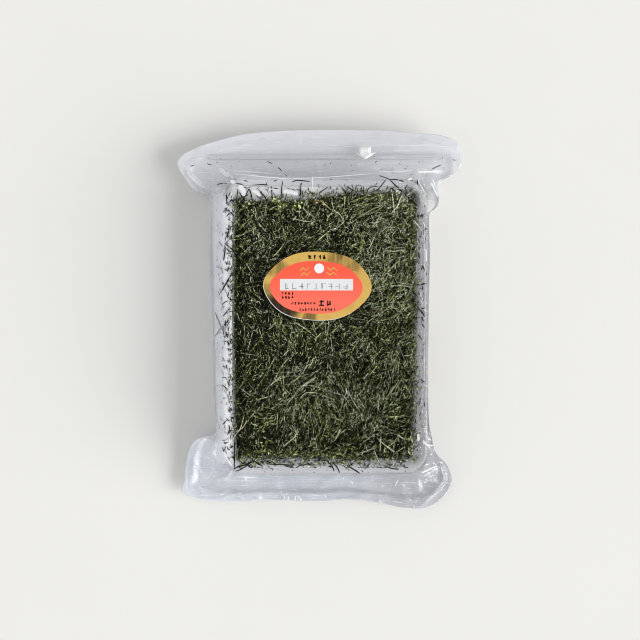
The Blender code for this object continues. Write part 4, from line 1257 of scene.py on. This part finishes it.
filmLines = {
    # Pale lines: painted highlights along creases
    "pale": (
        (((184.5, 169), (190, 172.6), (198, 180), (206, 188)), 0.7),
        (((219, 167), (226, 174), (235, 181)), 0.6), (((235, 173.6), (262, 176.6), (290, 179)), 0.7),
        (((290, 179), (330, 177), (372, 173.6)), 0.5), (((379, 172), (398, 171.4), (412, 170.6)), 0.5),
        (((419, 171.3), (430, 171.6), (441, 172)), 0.7), (((416, 172), (419, 182.7), (426.6, 195)), 0.7),
        (((431, 182.7), (438, 196.5)), 0.8), (((379.6, 157.2), (395, 157.4)), 0.6),
        (((189, 160), (202, 158.6)), 1.2), (((240, 145.2), (252, 145)), 0.7),
        (((456, 167), (461, 165)), 0.7), (((196, 463.5), (204.4, 475.8)), 0.6),
        (((231, 472.7), (228, 477), (219.7, 479.6)), 1.0),
        (((235.8, 477.3), (247, 477.2), (256.4, 477.3)), 0.7), (((228, 486.3), (248, 485.4)), 0.6),
        (((236, 497), (243, 496)), 0.9), (((284.6, 496), (283.4, 503)), 0.8),
        (((288.6, 496), (287.6, 503)), 0.8), (((295, 496), (295.6, 503)), 0.8),
        (((298.4, 496), (302, 502)), 0.8), (((199, 488), (204, 488.2)), 0.6),
        (((200, 490.6), (204, 490.8)), 0.6), (((200, 494), (205, 495.6), (207, 498.6)), 0.7),
        (((320, 481.6), (336, 481), (342, 478.4)), 0.5), (((395.6, 486), (398, 480)), 0.9),
        (((419.6, 480), (420, 484), (422, 488)), 0.8), (((393, 501), (403, 503)), 0.7),
        (((377.6, 505.6), (379.6, 499.6), (382, 505.6)), 0.7),
        (((422, 472.7), (430, 469.6), (434, 467), (441, 466)), 0.8), (((441, 466), (444, 477)), 0.7),
        (((413.6, 505), (413.8, 508.7)), 0.8), (((418.6, 434), (419, 440)), 1.2),
        (((423, 441), (426.4, 446), (434, 445.6)), 0.8), (((433, 470.6), (438, 467.6), (437, 474)), 0.7),
        (((446, 483), (452, 483.6)), 0.6), (((312, 494.6), (318, 495.4)), 0.6),
        (((426, 249), (426.2, 262)), 0.9), (((424.6, 222), (425.2, 300), (424.4, 380)), 0.35),
    ),
    # Grey lines: painted shade along the zip, the rim's edges and folds
    "paintedShadeGrey": (
        (((235, 157.6), (300, 158.6), (380, 157.8), (455, 157.2)), 0.35),
        (((380, 169.0), (394, 170.0)), 2.2), (((379, 170.6), (400, 173.4)), 0.4),
        (((426.9, 228), (427.5, 262), (427.0, 320), (426.2, 380), (425.2, 425)), 0.5),
        (((419.4, 205), (419.6, 225)), 0.35),
        (((229.6, 198), (229.4, 245), (229.8, 370), (230.2, 430)), 0.3),
        (((237, 185.5), (300, 185.4), (372, 185.8)), 0.4), (((347, 475.9), (391, 475.9), (418, 473)), 0.5),
        (((264, 472.4), (300, 473.2), (347, 475.7)), 0.4), (((203, 474), (204.6, 476.6)), 0.7),
        (((220.4, 480.4), (222.6, 478.8)), 0.8), (((443.6, 474), (444.4, 478.4)), 1.0),
        (((453, 483.6), (450, 487)), 0.5), (((397, 241), (397.4, 243)), 0.3),
    ),
}
# Painted reflections: bright facets of crumpled film, as spots in the picture and width in mm
filmPaintedReflections = (
    (((187.4, 171.4), (195, 179.4), (204.6, 187.6)), 3.6),
    (((219.5, 168.2), (223, 172), (229, 176.4)), 3.4), (((189, 160.6), (200, 158.8)), 1.4),
    (((238.5, 185.8), (242.6, 189), (244, 196)), 3.6), (((252, 190.5), (257, 192.4), (260.4, 196)), 2.6),
    (((283, 191.5), (290, 191.4), (298, 194.4)), 3.2), (((268, 189), (276, 189.4)), 0.8),
    (((284.6, 193.6), (285.6, 191)), 1.2), (((230.4, 181.4), (234.6, 182.4)), 2.4),
    (((407.6, 180), (411.4, 178.6)), 1.4), (((395.8, 191.6), (398.4, 190.8)), 1.6),
    (((221, 479.8), (229, 476.6)), 1.3), (((312.6, 176), (312.8, 189)), 0.5),
    (((224, 452), (226, 458), (232, 466)), 0.9), (((417.6, 434), (418.4, 441)), 1.4),
    (((423, 440), (428, 446), (434, 445.4)), 1.0),
)
# Painted glints of crumpled film at random, listed in the same way
paintedGlintAreas = (
    ((396, 178, 424, 202), 90, 40, (0.8, 3)), ((424, 462, 446, 486), 80, 30, (1, 4)),
    ((210, 178, 232, 198), 40, 120, (1, 4)), ((206, 440, 233, 480), 60, 100, (1, 4)),
    ((192, 150, 232, 182), 26, 150, (1, 5)), ((420, 200, 427, 450), 70, 90, (1, 5)),
    ((236, 478, 420, 502), 60, 0, (0.8, 3)), ((214, 200, 230, 430), 50, 90, (1, 6)),
    ((418, 420, 434, 462), 40, 70, (1, 5)),
)
# Fine lines drawn along the flaps: box in the picture and how many
drawnAreas = (
    ((232, 476, 420, 500), 46), ((200, 478, 260, 498), 22), ((230, 160, 420, 176), 26),
    ((240, 134, 440, 156), 22), ((424, 484, 440, 504), 14),
)


def filmPiece(name, lines, crease, shade, below, stations, tone=1.0):
    corners = layOnFilm(lines, below, 0.00006, stations)
    count, stations = corners.shape[:2]
    total = count * stations * 3
    fill = {"filmHaze": 0.0, "filmHighlightAndPrint": crease, "filmPaintedShade": shade, "filmToneAndPaintedLight": tone, "filmFlap": 0.0}
    tags = {tag: np.full(total, value) for tag, value in fill.items()}
    piece = meshPiece(name, corners.reshape(-1, 3), stripFaces(count, stations), tags, smooth=False)
    finishPiece(piece, filmMaterial, "film", "pouch_front_film")


def drawnLines(seed):
    rng = np.random.default_rng(seed)
    lines = []
    for (column0, row0, column1, row1), count in drawnAreas:
        for _ in range(count):
            column, row, reach = rng.uniform(column0, column1), rng.uniform(row0, row1), rng.uniform(4, 22)
            # Narrow boxes hold shorter lines that slope up to the right
            narrow = column1 - column0 <= 20
            turn = math.radians(rng.normal(12, 6)) if narrow else math.radians(rng.normal(0, 3))
            reach = reach * 0.3 if narrow else reach
            end = (column + reach * math.cos(turn), row - reach * math.sin(turn))
            lines.append((((column, row), end), rng.uniform(0.12, 0.35)))
    return lines


filmPiece("film_painted_crease_highlights", filmLines["pale"], 0.85, 0.0, -0.00003, 11)
filmPiece("film_painted_reflections", filmPaintedReflections, 0.95, 0.0, -0.00003, 7)
filmPiece("film_painted_glints", looseLines(92, paintedGlintAreas), 0.8, 0.0, -0.00003, 3)
filmPiece("film_drawn_lines", drawnLines(91), 0.5, 0.0, -0.00003, 5)
filmPiece("film_painted_shade_lines", filmLines["paintedShadeGrey"], 0.0, 0.55, -0.00003, 11)

tearLine = {"spots": ((345, 146.6), (380, 144.6), (459, 146.8)), "pitch": 3.2, "dash": 1.1, "width": 0.70}


def tearDashes():
    columns = np.arange(tearLine["spots"][0][0], tearLine["spots"][-1][0], tearLine["pitch"])
    rows = np.interp(columns, *zip(*tearLine["spots"]))
    dash, width = tearLine["dash"], tearLine["width"]
    return [(((column, row), (column + dash, row)), width) for column, row in zip(columns, rows)]


filmPiece("tear_line", tearDashes(), 1.6, 0.0, -0.00004, 3)


# Painted light: thin sheets under the film that paint its sheen between the tray's rim and the bed, and light
# on its weld on the left, with painted shade on the right: long edges in the picture, how far under the film
# in mm or at what height, strength, its shares along the length, where it fades, tone, tint and greyness
paintedSheens = {
    "head": {
        "outer": ((229, 184.6), (300, 185.4), (372, 186.0), (404, 188)),
        "inner": ((232, 201.5), (290, 202), (335, 197), (372, 194), (404, 193)), "under": 1.1,
        "strength": 0.60, "along": (1.1, 1.0, 1.0, 1.0, 0.65, 0.50, 0.40), "hold": 0.45, "tone": 0.9,
        "tint": 0.12, "paintedShadeGrey": 0.0,
    },
    "rim": {
        "outer": ((232, 175.5), (300, 176.4), (372, 177), (404, 180)),
        "inner": ((229, 187.6), (300, 188.4), (372, 189), (404, 190)), "under": 0.7, "strength": 0.20,
        "along": (1.0, 1.1, 0.7, 0.2), "hold": 0.75, "tone": 1.0, "tint": 0.0, "paintedShadeGrey": 0.0,
    },
    "left": {
        "outer": ((211, 190), (213, 330), (216, 466)),
        "inner": ((238.0, 196), (235.0, 240), (234.4, 330), (237.0, 466)), "under": 0.9, "strength": 0.86,
        "along": (1.0, 1.0), "hold": 0.60, "tone": 1.0, "tint": -0.05, "paintedShadeGrey": 0.0,
    },
    "foot": {
        "outer": ((234, 475.6), (330, 475.4), (420, 473.5)),
        "inner": ((234, 457), (300, 455), (350, 458), (418, 456)), "under": 0.9, "strength": 0.40,
        "along": (1.0, 0.9, 0.9, 0.9), "hold": 0.45, "tone": 0.42, "tint": 0.05, "paintedShadeGrey": 0.0,
    },
    "right": {
        "outer": ((428.8, 196), (427.8, 330), (426.8, 462)), "inner": ((414, 206), (414, 330), (410, 464)),
        "under": 0.9, "strength": 0.56, "along": (0.8, 1.0, 1.0), "hold": 0.60, "tone": 0.0, "tint": 0.06,
        "paintedShadeGrey": 0.08,
    },
    "weld": {
        "outer": ((210.3, 200), (209.2, 240), (210.0, 275), (211.9, 310), (213.2, 350), (214.1, 385),
                  (215.6, 415), (216.6, 432)),
        "inner": ((215.3, 200), (214.2, 240), (215.0, 275), (216.9, 310), (218.2, 350), (219.1, 385),
                  (220.6, 415), (221.6, 432)),
        "height": 0.0198, "strength": 0.90, "along": (1.0, 1.0), "hold": 0.6, "tone": 1.0, "tint": -0.12,
        "paintedShadeGrey": 0.0, "crisp": 0.10,
    },
}


def makePaintedSheen(name, look, seed):
    # A very thin sheet of painted sheen under the film, strongest along its middle and ragged towards the bed
    steps, rows = 90, 9
    outer, inner = evenAlong(look["outer"], steps), evenAlong(look["inner"], steps)
    share = np.linspace(0, 1, rows)[:, None, None]
    seen = outer[None] * (1 - share) + inner[None] * share
    if "height" in look:
        level = look["height"]
        place = np.array([[(*seenAt(column, row, level), level) for column, row in line] for line in seen])
    else:
        below = look["under"] * 0.001
        place = np.array([[onFilm(column, row, below) for column, row in line] for line in seen])
    x, y = place[..., 0], place[..., 1]
    ragged = 0.5 + 0.5 * softNoise(x, y, 0.0045, seed)
    along = np.linspace(0, 1, steps)[None, :]
    across = share[..., 0]
    fade = smoothStep(-look.get("crisp", 0), 0.10, across)
    fade = fade * smoothStep(1.0, look["hold"] - 0.15 * ragged, across)
    fade = fade * smoothStep(0, 0.04, along) * smoothStep(1, 0.96, along)
    shares = np.interp(along, np.linspace(0, 1, len(look["along"])), look["along"])
    strength = look["strength"] * shares * fade * (0.80 + 0.20 * softNoise(x, y, 0.008, seed + 1))
    grid = np.arange(rows * steps).reshape(rows, steps)
    quads = np.stack([grid[:-1, :-1], grid[1:, :-1], grid[1:, 1:], grid[:-1, 1:]], -1).reshape(-1, 4)
    border = np.concatenate([grid[0], grid[1:, -1], grid[-1, -2::-1], grid[-2:0:-1, 0]])
    total, after = rows * steps, np.roll(border, -1)
    rim = np.stack([border, after, after + total, border + total], -1)
    points = np.concatenate([place.reshape(-1, 3), place.reshape(-1, 3) - np.array([0, 0, 0.00004])])
    tags = {"filmHaze": strength, "filmToneAndPaintedLight": np.full_like(x, look["tone"]),
            "filmTint": np.full_like(x, look["tint"]), "filmPaintedShade": look["paintedShadeGrey"] * fade}
    doubled = {tag: np.tile(values.ravel(), 2) for tag, values in tags.items()}
    piece = meshPiece(name, points, [quads, quads[:, ::-1] + total, rim], doubled)
    finishPiece(piece, filmMaterial, "film", "pouch_front_film")


for number, (side, look) in enumerate(paintedSheens.items()):
    makePaintedSheen(f"film_painted_sheen_{side}", look, 110 + 5 * number)


# Printed arrow on the head flap: its corners and neck in the picture, its height over the film and thickness
tearArrow = {
    "corners": ((358.6, 146.6), (358.6, 153.6), (354.8, 152.8), (365.0, 159.8), (376.2, 152.4),
                (370.6, 153.6), (370.6, 146.6)),
    "neck": (364.8, 153.2), "over": 0.00003, "thick": 0.00006,
}


def makeArrow():
    # Rings of the arrow's outline drawn in to its neck, laid on the film
    spots, neck = np.array(tearArrow["corners"]), np.array(tearArrow["neck"])
    sides = zip(spots, np.roll(spots, -1, axis=0))
    outline = np.concatenate([np.linspace(start, end, 6, endpoint=False) for start, end in sides])
    rings = []
    for share, layer in ((0.02, 0), (0.5, 0), (1, 0), (1, 1), (0.5, 1), (0.02, 1)):
        ring = neck + (outline - neck) * share
        below = -tearArrow["over"] - tearArrow["thick"] * layer
        rings.append([onFilm(column, row, below) for column, row in ring])
    rings = np.array(rings)
    total = rings.shape[0] * rings.shape[1]
    fill = {"filmHaze": 0.0, "filmHighlightAndPrint": 1.4, "filmPaintedShade": 0.0, "filmToneAndPaintedLight": 1.0, "filmFlap": 0.0}
    piece = solidRings("tear_arrow", rings, {tag: np.full(total, value) for tag, value in fill.items()})
    finishPiece(piece, filmMaterial, "film", "pouch_front_film")


makeArrow()
print("Film lines made")


# Label

# Sizes in metres, and boxes and middles in the picture
label = {
    "centre": (-0.0014, 0.0250), "width": 0.0780, "height": 0.0504, "base": 0.03840, "sheet": 0.00012,
    "seen": 0.0387, "redMiddle": (316.2, 287.4), "redSize": (0.0672, 0.0388),
    "plateBox": (279.9, 278.9, 353.1, 290.4), "plateCorner": 0.0005,
    "dotMiddle": (319.2, 268.4), "dotSize": 0.0072, "markSeed": 5, "paperShift": 0.0003, "waveHalf": 0.00055,
    "goldRings": (0.97, 0.94, 0.91, 0.88, 0.85, 0.81, 0.76),
}
labelFinish = {
    "gold": ((0.60, 0.36, 0.075), (0.78, 0.52, 0.135)), "goldDarkReflection": (0.022, 0.009, 0.002), "goldMetal": 0.15,
    "redTop": (0.97, 0.098, 0.045), "redFoot": (1.0, 0.155, 0.095),
    "redRows": (0.036, 0.014), "redRoughness": 0.38,
}
# Painted darker reflections in the gold: direction from the label's middle in degrees, spread, strength, how
# streaky
goldPaintedReflections = (
    (212, 25, 1.0, 0.10), (156, 12, 0.50, 0.5), (182, 5, 0.35, 0.5), (44, 27, 0.34, 0.9), (58, 10, 0.20, 0.9),
    (256, 12, 0.72, 0.25), (28, 7, 0.20, 1.0),
)


def ovalPoints(centre, width, height, count=96, lobes=0.012):
    turn = np.linspace(0, 2 * np.pi, count, endpoint=False)
    lobe = 1 + lobes * np.cos(6 * turn + 0.6)
    x, y = centre[0] + lobe * width / 2 * np.cos(turn), centre[1] + lobe * height / 2 * np.sin(turn)
    return np.column_stack([x, y])


def boxSeen(box):
    # Left, foot, right and head of a box in the picture, at the label's height
    left, top = seenAt(box[0], box[1], label["seen"])
    right, bottom = seenAt(box[2], box[3], label["seen"])
    return left, bottom, right, top


def platePoints(box, corner):
    left, bottom, right, top = boxSeen(box)
    return roundedRectangle(right - left, top - bottom, corner, ((left + right) / 2, (top + bottom) / 2), 8)


def stamped(name, outline, low, high, shares=(), tag=None):
    # A thin flat piece of this outline with a slightly rounded upper edge and, at need, more rings inwards
    centre = outline.mean(axis=0)
    edge = min(0.00008, (high - low) / 2)
    shrunk = outline + (centre - outline) / np.linalg.norm(centre - outline, axis=1, keepdims=True) * edge
    levels = [(outline, low), (outline, high - edge * 0.6), (shrunk, high)]
    levels += [(centre + (shrunk - centre) * share, high) for share in shares]
    rings = np.array([np.column_stack([flat, np.full(len(flat), level)]) for flat, level in levels])
    return solidRings(name, rings, {tag[0]: tag[1](rings, centre).ravel()} if tag else None, smooth=False)


def goldReflectionAt(rings, centre):
    # How dark the gold's painted reflections make it at each point: smooth patches broken into streaks across
    # the ring
    turn = np.degrees(np.arctan2(rings[..., 1] - centre[1], rings[..., 0] - centre[0])) % 360
    streak = softNoise(rings[..., 0], rings[..., 1] * 0.05, 0.0010, 141)
    shade = np.zeros_like(turn)
    for at, spread, strength, streaky in goldPaintedReflections:
        off = (turn - at + 180) % 360 - 180
        shade += strength * np.exp(-(off / spread) ** 6) * (1 + streaky * streak)
    return np.clip(shade, 0, 1)


def makeGoldFoil():
    made, tree, sockets = newMaterial("gold_foil", {"Metallic": labelFinish["goldMetal"]})
    marks = placeGroup(tree, mottle, {"Scale": 60.0, "Fine share": 0.25, "Contrast": 1.6})
    dark, light = labelFinish["gold"]
    bright = addRamp(tree, marks["Tone"], ((0.0, dark), (1.0, light)))
    # Painted reflections darken the gold
    shaded = addMix(tree, pointTag(tree, "foilPaintedReflection"), bright, labelFinish["goldDarkReflection"])
    tree.links.new(shaded, sockets["Base Color"])
    scuffs = placeGroup(tree, handling, {"Scale": 200.0, "Stretch": 3.0, "Amount": 1.0})
    tree.links.new(addMath(tree, "MULTIPLY_ADD", scuffs["Mask"], 0.15, 0.30), sockets["Roughness"])
    addBump(tree, sockets, marks["Height"], 0.1, 0.0001)
    return made


def makeRedPrint():
    # Red that turns pinker from the label's head to its foot
    made, tree, sockets = newMaterial("red_print", {"Coat Weight": 0.15, "Coat Roughness": 0.2})
    marks = placeGroup(tree, mottle, {"Scale": 120.0, "Fine share": 0.3, "Contrast": 1.0})
    place = addNode(tree, "ShaderNodeTexCoord").outputs["Object"]
    alongLabel = addNode(tree, "ShaderNodeSeparateXYZ", {"Vector": place}).outputs["Y"]
    head, foot = labelFinish["redRows"]
    reach = {"Value": alongLabel, "From Min": head, "From Max": foot}
    faded = addNode(tree, "ShaderNodeMapRange", reach).outputs[0]
    shifted = addMath(tree, "SUBTRACT", marks["Tone"], 0.5)
    uneven = addMath(tree, "MULTIPLY_ADD", shifted, 0.25, faded, clamp=True)
    red = addRamp(tree, uneven, ((0.0, labelFinish["redTop"]), (1.0, labelFinish["redFoot"])))
    tree.links.new(red, sockets["Base Color"])
    tree.links.new(addMath(tree, "MULTIPLY_ADD", marks["Tone"], 0.12, labelFinish["redRoughness"]),
                   sockets["Roughness"])
    addBump(tree, sockets, marks["Height"], 0.1, 0.0001)
    return made


goldFoil, redPrint = makeGoldFoil(), makeRedPrint()
plateWhite = makePrintMaterial("plate_white", (0.70, 0.72, 0.72), (0.80, 0.82, 0.82), 0.45)
darkInk = makePrintMaterial("dark_ink", (0.008, 0.002, 0.002), (0.03, 0.008, 0.006), 0.5)
greyInk = makePrintMaterial("grey_ink", (0.15, 0.16, 0.18), (0.25, 0.26, 0.27), 0.5)
whiteInk = makePrintMaterial("white_ink", (0.80, 0.82, 0.83), (0.92, 0.93, 0.94), 0.4)

# Plain strokes where the label is printed: box in the picture, marks in the row, material, stroke in mm
labelMarks = (
    ((308.0, 254.8, 327.4, 259.2), 4, darkInk, 1.15), ((281.4, 292.0, 294.4, 294.8), 4, darkInk, 0.95),
    ((281.4, 296.0, 294.4, 298.8), 4, darkInk, 0.95), ((291.2, 301.8, 316.4, 304.8), 8, darkInk, 0.80),
    ((318.8, 300.2, 333.8, 306.4), 2, darkInk, 1.45), ((299.2, 308.0, 336.0, 311.2), 13, darkInk, 0.76),
    ((284.2, 283.2, 349.6, 289.4), 9, greyInk, 0.46),
)
# Waves of gold line on the red
goldWaves = (
    ((300.0, 270.6), (303.0, 267.6), (306.0, 270.4), (309.8, 266.8)),
    ((300.6, 275.6), (304.0, 272.6), (307.0, 275.2), (310.6, 271.6)),
    ((327.4, 267.2), (330.6, 270.4), (333.8, 267.4), (337.6, 270.8)),
    ((326.6, 272.0), (330.0, 275.2), (333.4, 272.2), (337.0, 275.4)),
)


def strokeBoxes(rng, box, count, stroke):
    # Each mark is a few level and upright strokes at random within its own cell
    left, bottom, right, top = boxSeen(box)
    cell, half = (right - left) / count, stroke * 0.0005
    boxes = []
    for mark in range(count):
        x0, x1 = left + mark * cell, left + (mark + 0.74) * cell
        for _ in range(rng.integers(1, 3)):
            y = rng.uniform(bottom + half, top - half)
            start, end = x0 + rng.uniform(0, 0.25) * cell, x1 - rng.uniform(0, 0.2) * cell
            boxes.append((start, y - half * 0.8, end, y + half * 0.8))
        for _ in range(rng.integers(1, 3)):
            x = rng.uniform(x0 + half, x1 - half)
            reach = rng.uniform(0.55, 1.0) * (top - bottom)
            foot = rng.uniform(bottom, top - reach)
            boxes.append((x - half * 0.8, foot, x + half * 0.8, foot + reach))
    return boxes


def marksPiece(name, boxes, low, high, ink):
    corners = ((0, 1), (2, 1), (2, 3), (0, 3))
    points = [[(box[i], box[j], level) for level in (low, high) for i, j in corners] for box in boxes]
    cube = np.array([[3, 2, 1, 0], [4, 5, 6, 7], [0, 1, 5, 4], [1, 2, 6, 5], [2, 3, 7, 6], [3, 0, 4, 7]])
    faces = (cube[None] + 8 * np.arange(len(boxes))[:, None, None]).reshape(-1, 4)
    marks = meshPiece(name, np.array(points).reshape(-1, 3), [faces], smooth=False)
    finishPiece(marks, ink, "label_foil", "label")


def makeLabel():
    low, step = label["base"], label["sheet"]
    # The paper's white edge shows at the lower left
    paperCentre = (label["centre"][0] - label["paperShift"], label["centre"][1] - label["paperShift"])
    paperEdge = ovalPoints(paperCentre, label["width"], label["height"])
    finishPiece(stamped("label_paper", paperEdge, low - step / 2, low + step / 2), whiteInk, "label_foil",
                "label")
    goldEdge = ovalPoints(label["centre"], label["width"], label["height"], 420)
    gold = stamped("label_foil", goldEdge, low, low + step, label["goldRings"], ("foilPaintedReflection", goldReflectionAt))
    finishPiece(gold, goldFoil, "label_foil", "label")
    redMiddle, dotMiddle = (seenAt(*label[key], label["seen"]) for key in ("redMiddle", "dotMiddle"))
    dot = ovalPoints(dotMiddle, label["dotSize"], label["dotSize"], 40, 0)
    flats = (
        ("label_red_field", ovalPoints(redMiddle, *label["redSize"]), 1.0, 1.3, redPrint),
        ("label_plate", platePoints(label["plateBox"], label["plateCorner"]), 1.2, 1.6, plateWhite),
        ("label_dot", dot, 1.2, 1.6, whiteInk),
    )
    for name, outline, under, over, material in flats:
        flat = stamped(name, outline, low + under * step, low + over * step)
        finishPiece(flat, material, "label_foil", "label")
    rng = np.random.default_rng(label["markSeed"])
    for row, (box, count, ink, stroke) in enumerate(labelMarks):
        high = low + (1.75 if ink is greyInk else 1.5) * step
        boxes = strokeBoxes(rng, box, count, stroke)
        marksPiece(f"label_marks_{row + 1}", boxes, high - 0.5 * step, high, ink)
    steps = np.linspace(0, 3, 16)
    for wave, spots in enumerate(goldWaves):
        path = np.array([seenAt(column, row, label["seen"]) for column, row in spots])
        fine = np.column_stack([np.interp(steps, np.arange(4), path[:, axis]) for axis in (0, 1)])
        fine[1:-1] = (fine[:-2] + 2 * fine[1:-1] + fine[2:]) / 4
        ends = np.linspace(1, 0.5, 16)[:, None] * np.array([[0.0, label["waveHalf"]]])
        outline = np.concatenate([fine - ends, (fine + ends)[::-1]])
        line = stamped(f"label_wave_{wave + 1}", outline, low + 1.2 * step, low + 1.6 * step)
        finishPiece(line, goldFoil, "label_foil", "label")


makeLabel()
print("Label made")


# Zip: the CAD strips keep their shape

zipMaterial = makePrintMaterial("zip_plastic", (0.55, 0.55, 0.58), (0.64, 0.64, 0.67), 0.3)
for nodeName in ("zip_tongue", "zip_channel"):
    node = frame["nodes"][nodeName]
    node.data.materials.clear()
    node.data.materials.append(zipMaterial)


# Floor, light and camera

studio = {
    "floorSize": 6.0, "floorDark": (0.775, 0.772, 0.748), "floorLight": (0.800, 0.797, 0.775),
    "skyLow": 0.72, "skyHigh": 0.50, "skyTilt": 0.3,
    "keyFrom": (1.0, -0.40, 0.34), "keyPower": 4.8, "keySpread": 55,
    "dimBetween": (0.60, 0.88), "skyColour": (0.99, 0.992, 1.0), "keyColour": (1.0, 0.995, 0.985),
}


def makeFloor():
    reach = studio["floorSize"] / 2
    corners = np.array([[-reach, -reach, 0], [reach, -reach, 0], [reach, reach, 0], [-reach, reach, 0]])
    floor = meshPiece("studio_floor", corners, [np.array([[0, 1, 2, 3]])])
    matt = makePrintMaterial("matt_floor", studio["floorDark"], studio["floorLight"], 0.75, scale=3.0)
    floor.data.materials.append(matt)


def makeSky(scene):
    # Bright all round and dim overhead, as under a camera between softboxes
    world = bpy.data.worlds.new("studio")
    world.use_nodes = True
    tree = world.node_tree
    looking = addNode(tree, "ShaderNodeTexCoord").outputs["Generated"]
    upward = addNode(tree, "ShaderNodeSeparateXYZ", {"Vector": looking}).outputs["Z"]
    dimFrom, dimTo = studio["dimBetween"]
    height = {"Value": upward, "From Min": dimFrom, "From Max": dimTo, "To Min": studio["skyLow"],
              "To Max": studio["skyHigh"]}
    overhead = addNode(tree, "ShaderNodeMapRange", height, interpolation_type="SMOOTHSTEP").outputs[0]
    sideways = addNode(tree, "ShaderNodeSeparateXYZ", {"Vector": looking}).outputs["X"]
    tilt = studio["skyTilt"]
    side = {"Value": sideways, "From Min": -1.0, "From Max": 1.0, "To Min": 1.0 + tilt, "To Max": 1.0 - tilt}
    leftward = addNode(tree, "ShaderNodeMapRange", side).outputs[0]
    strength = addMath(tree, "MULTIPLY", overhead, leftward)
    back = tree.nodes["Background"]
    back.inputs["Color"].default_value = (*studio["skyColour"], 1)
    tree.links.new(strength, back.inputs["Strength"])
    scene.world = world


def makeKeyLight(scene):
    lamp = bpy.data.lights.new("soft_key", "SUN")
    lamp.energy = studio["keyPower"]
    lamp.angle = math.radians(studio["keySpread"])
    lamp.color = studio["keyColour"]
    holder = bpy.data.objects.new("soft_key", lamp)
    holder.location = studio["keyFrom"]
    holder.rotation_euler = (-Vector(studio["keyFrom"])).to_track_quat("-Z", "Y").to_euler()
    scene.collection.objects.link(holder)


def makeStudio():
    scene = bpy.context.scene
    makeFloor()
    makeSky(scene)
    makeKeyLight(scene)
    lens = bpy.data.cameras.new("camera")
    lens.lens = camera["lens"]
    lens.sensor_width = camera["sensor"]
    lens.clip_start = 0.01
    holder = bpy.data.objects.new("camera", lens)
    holder.location = (camera["x"], camera["y"], camera["height"])
    scene.collection.objects.link(holder)
    scene.camera = holder
    scene.view_settings.view_transform = "Standard"
    scene.view_settings.look = "None"
    scene.cycles.transparent_max_bounces = 32
    scene.cycles.max_bounces = 8
    scene.cycles.filter_width = 1.0


makeStudio()
print("Studio made")
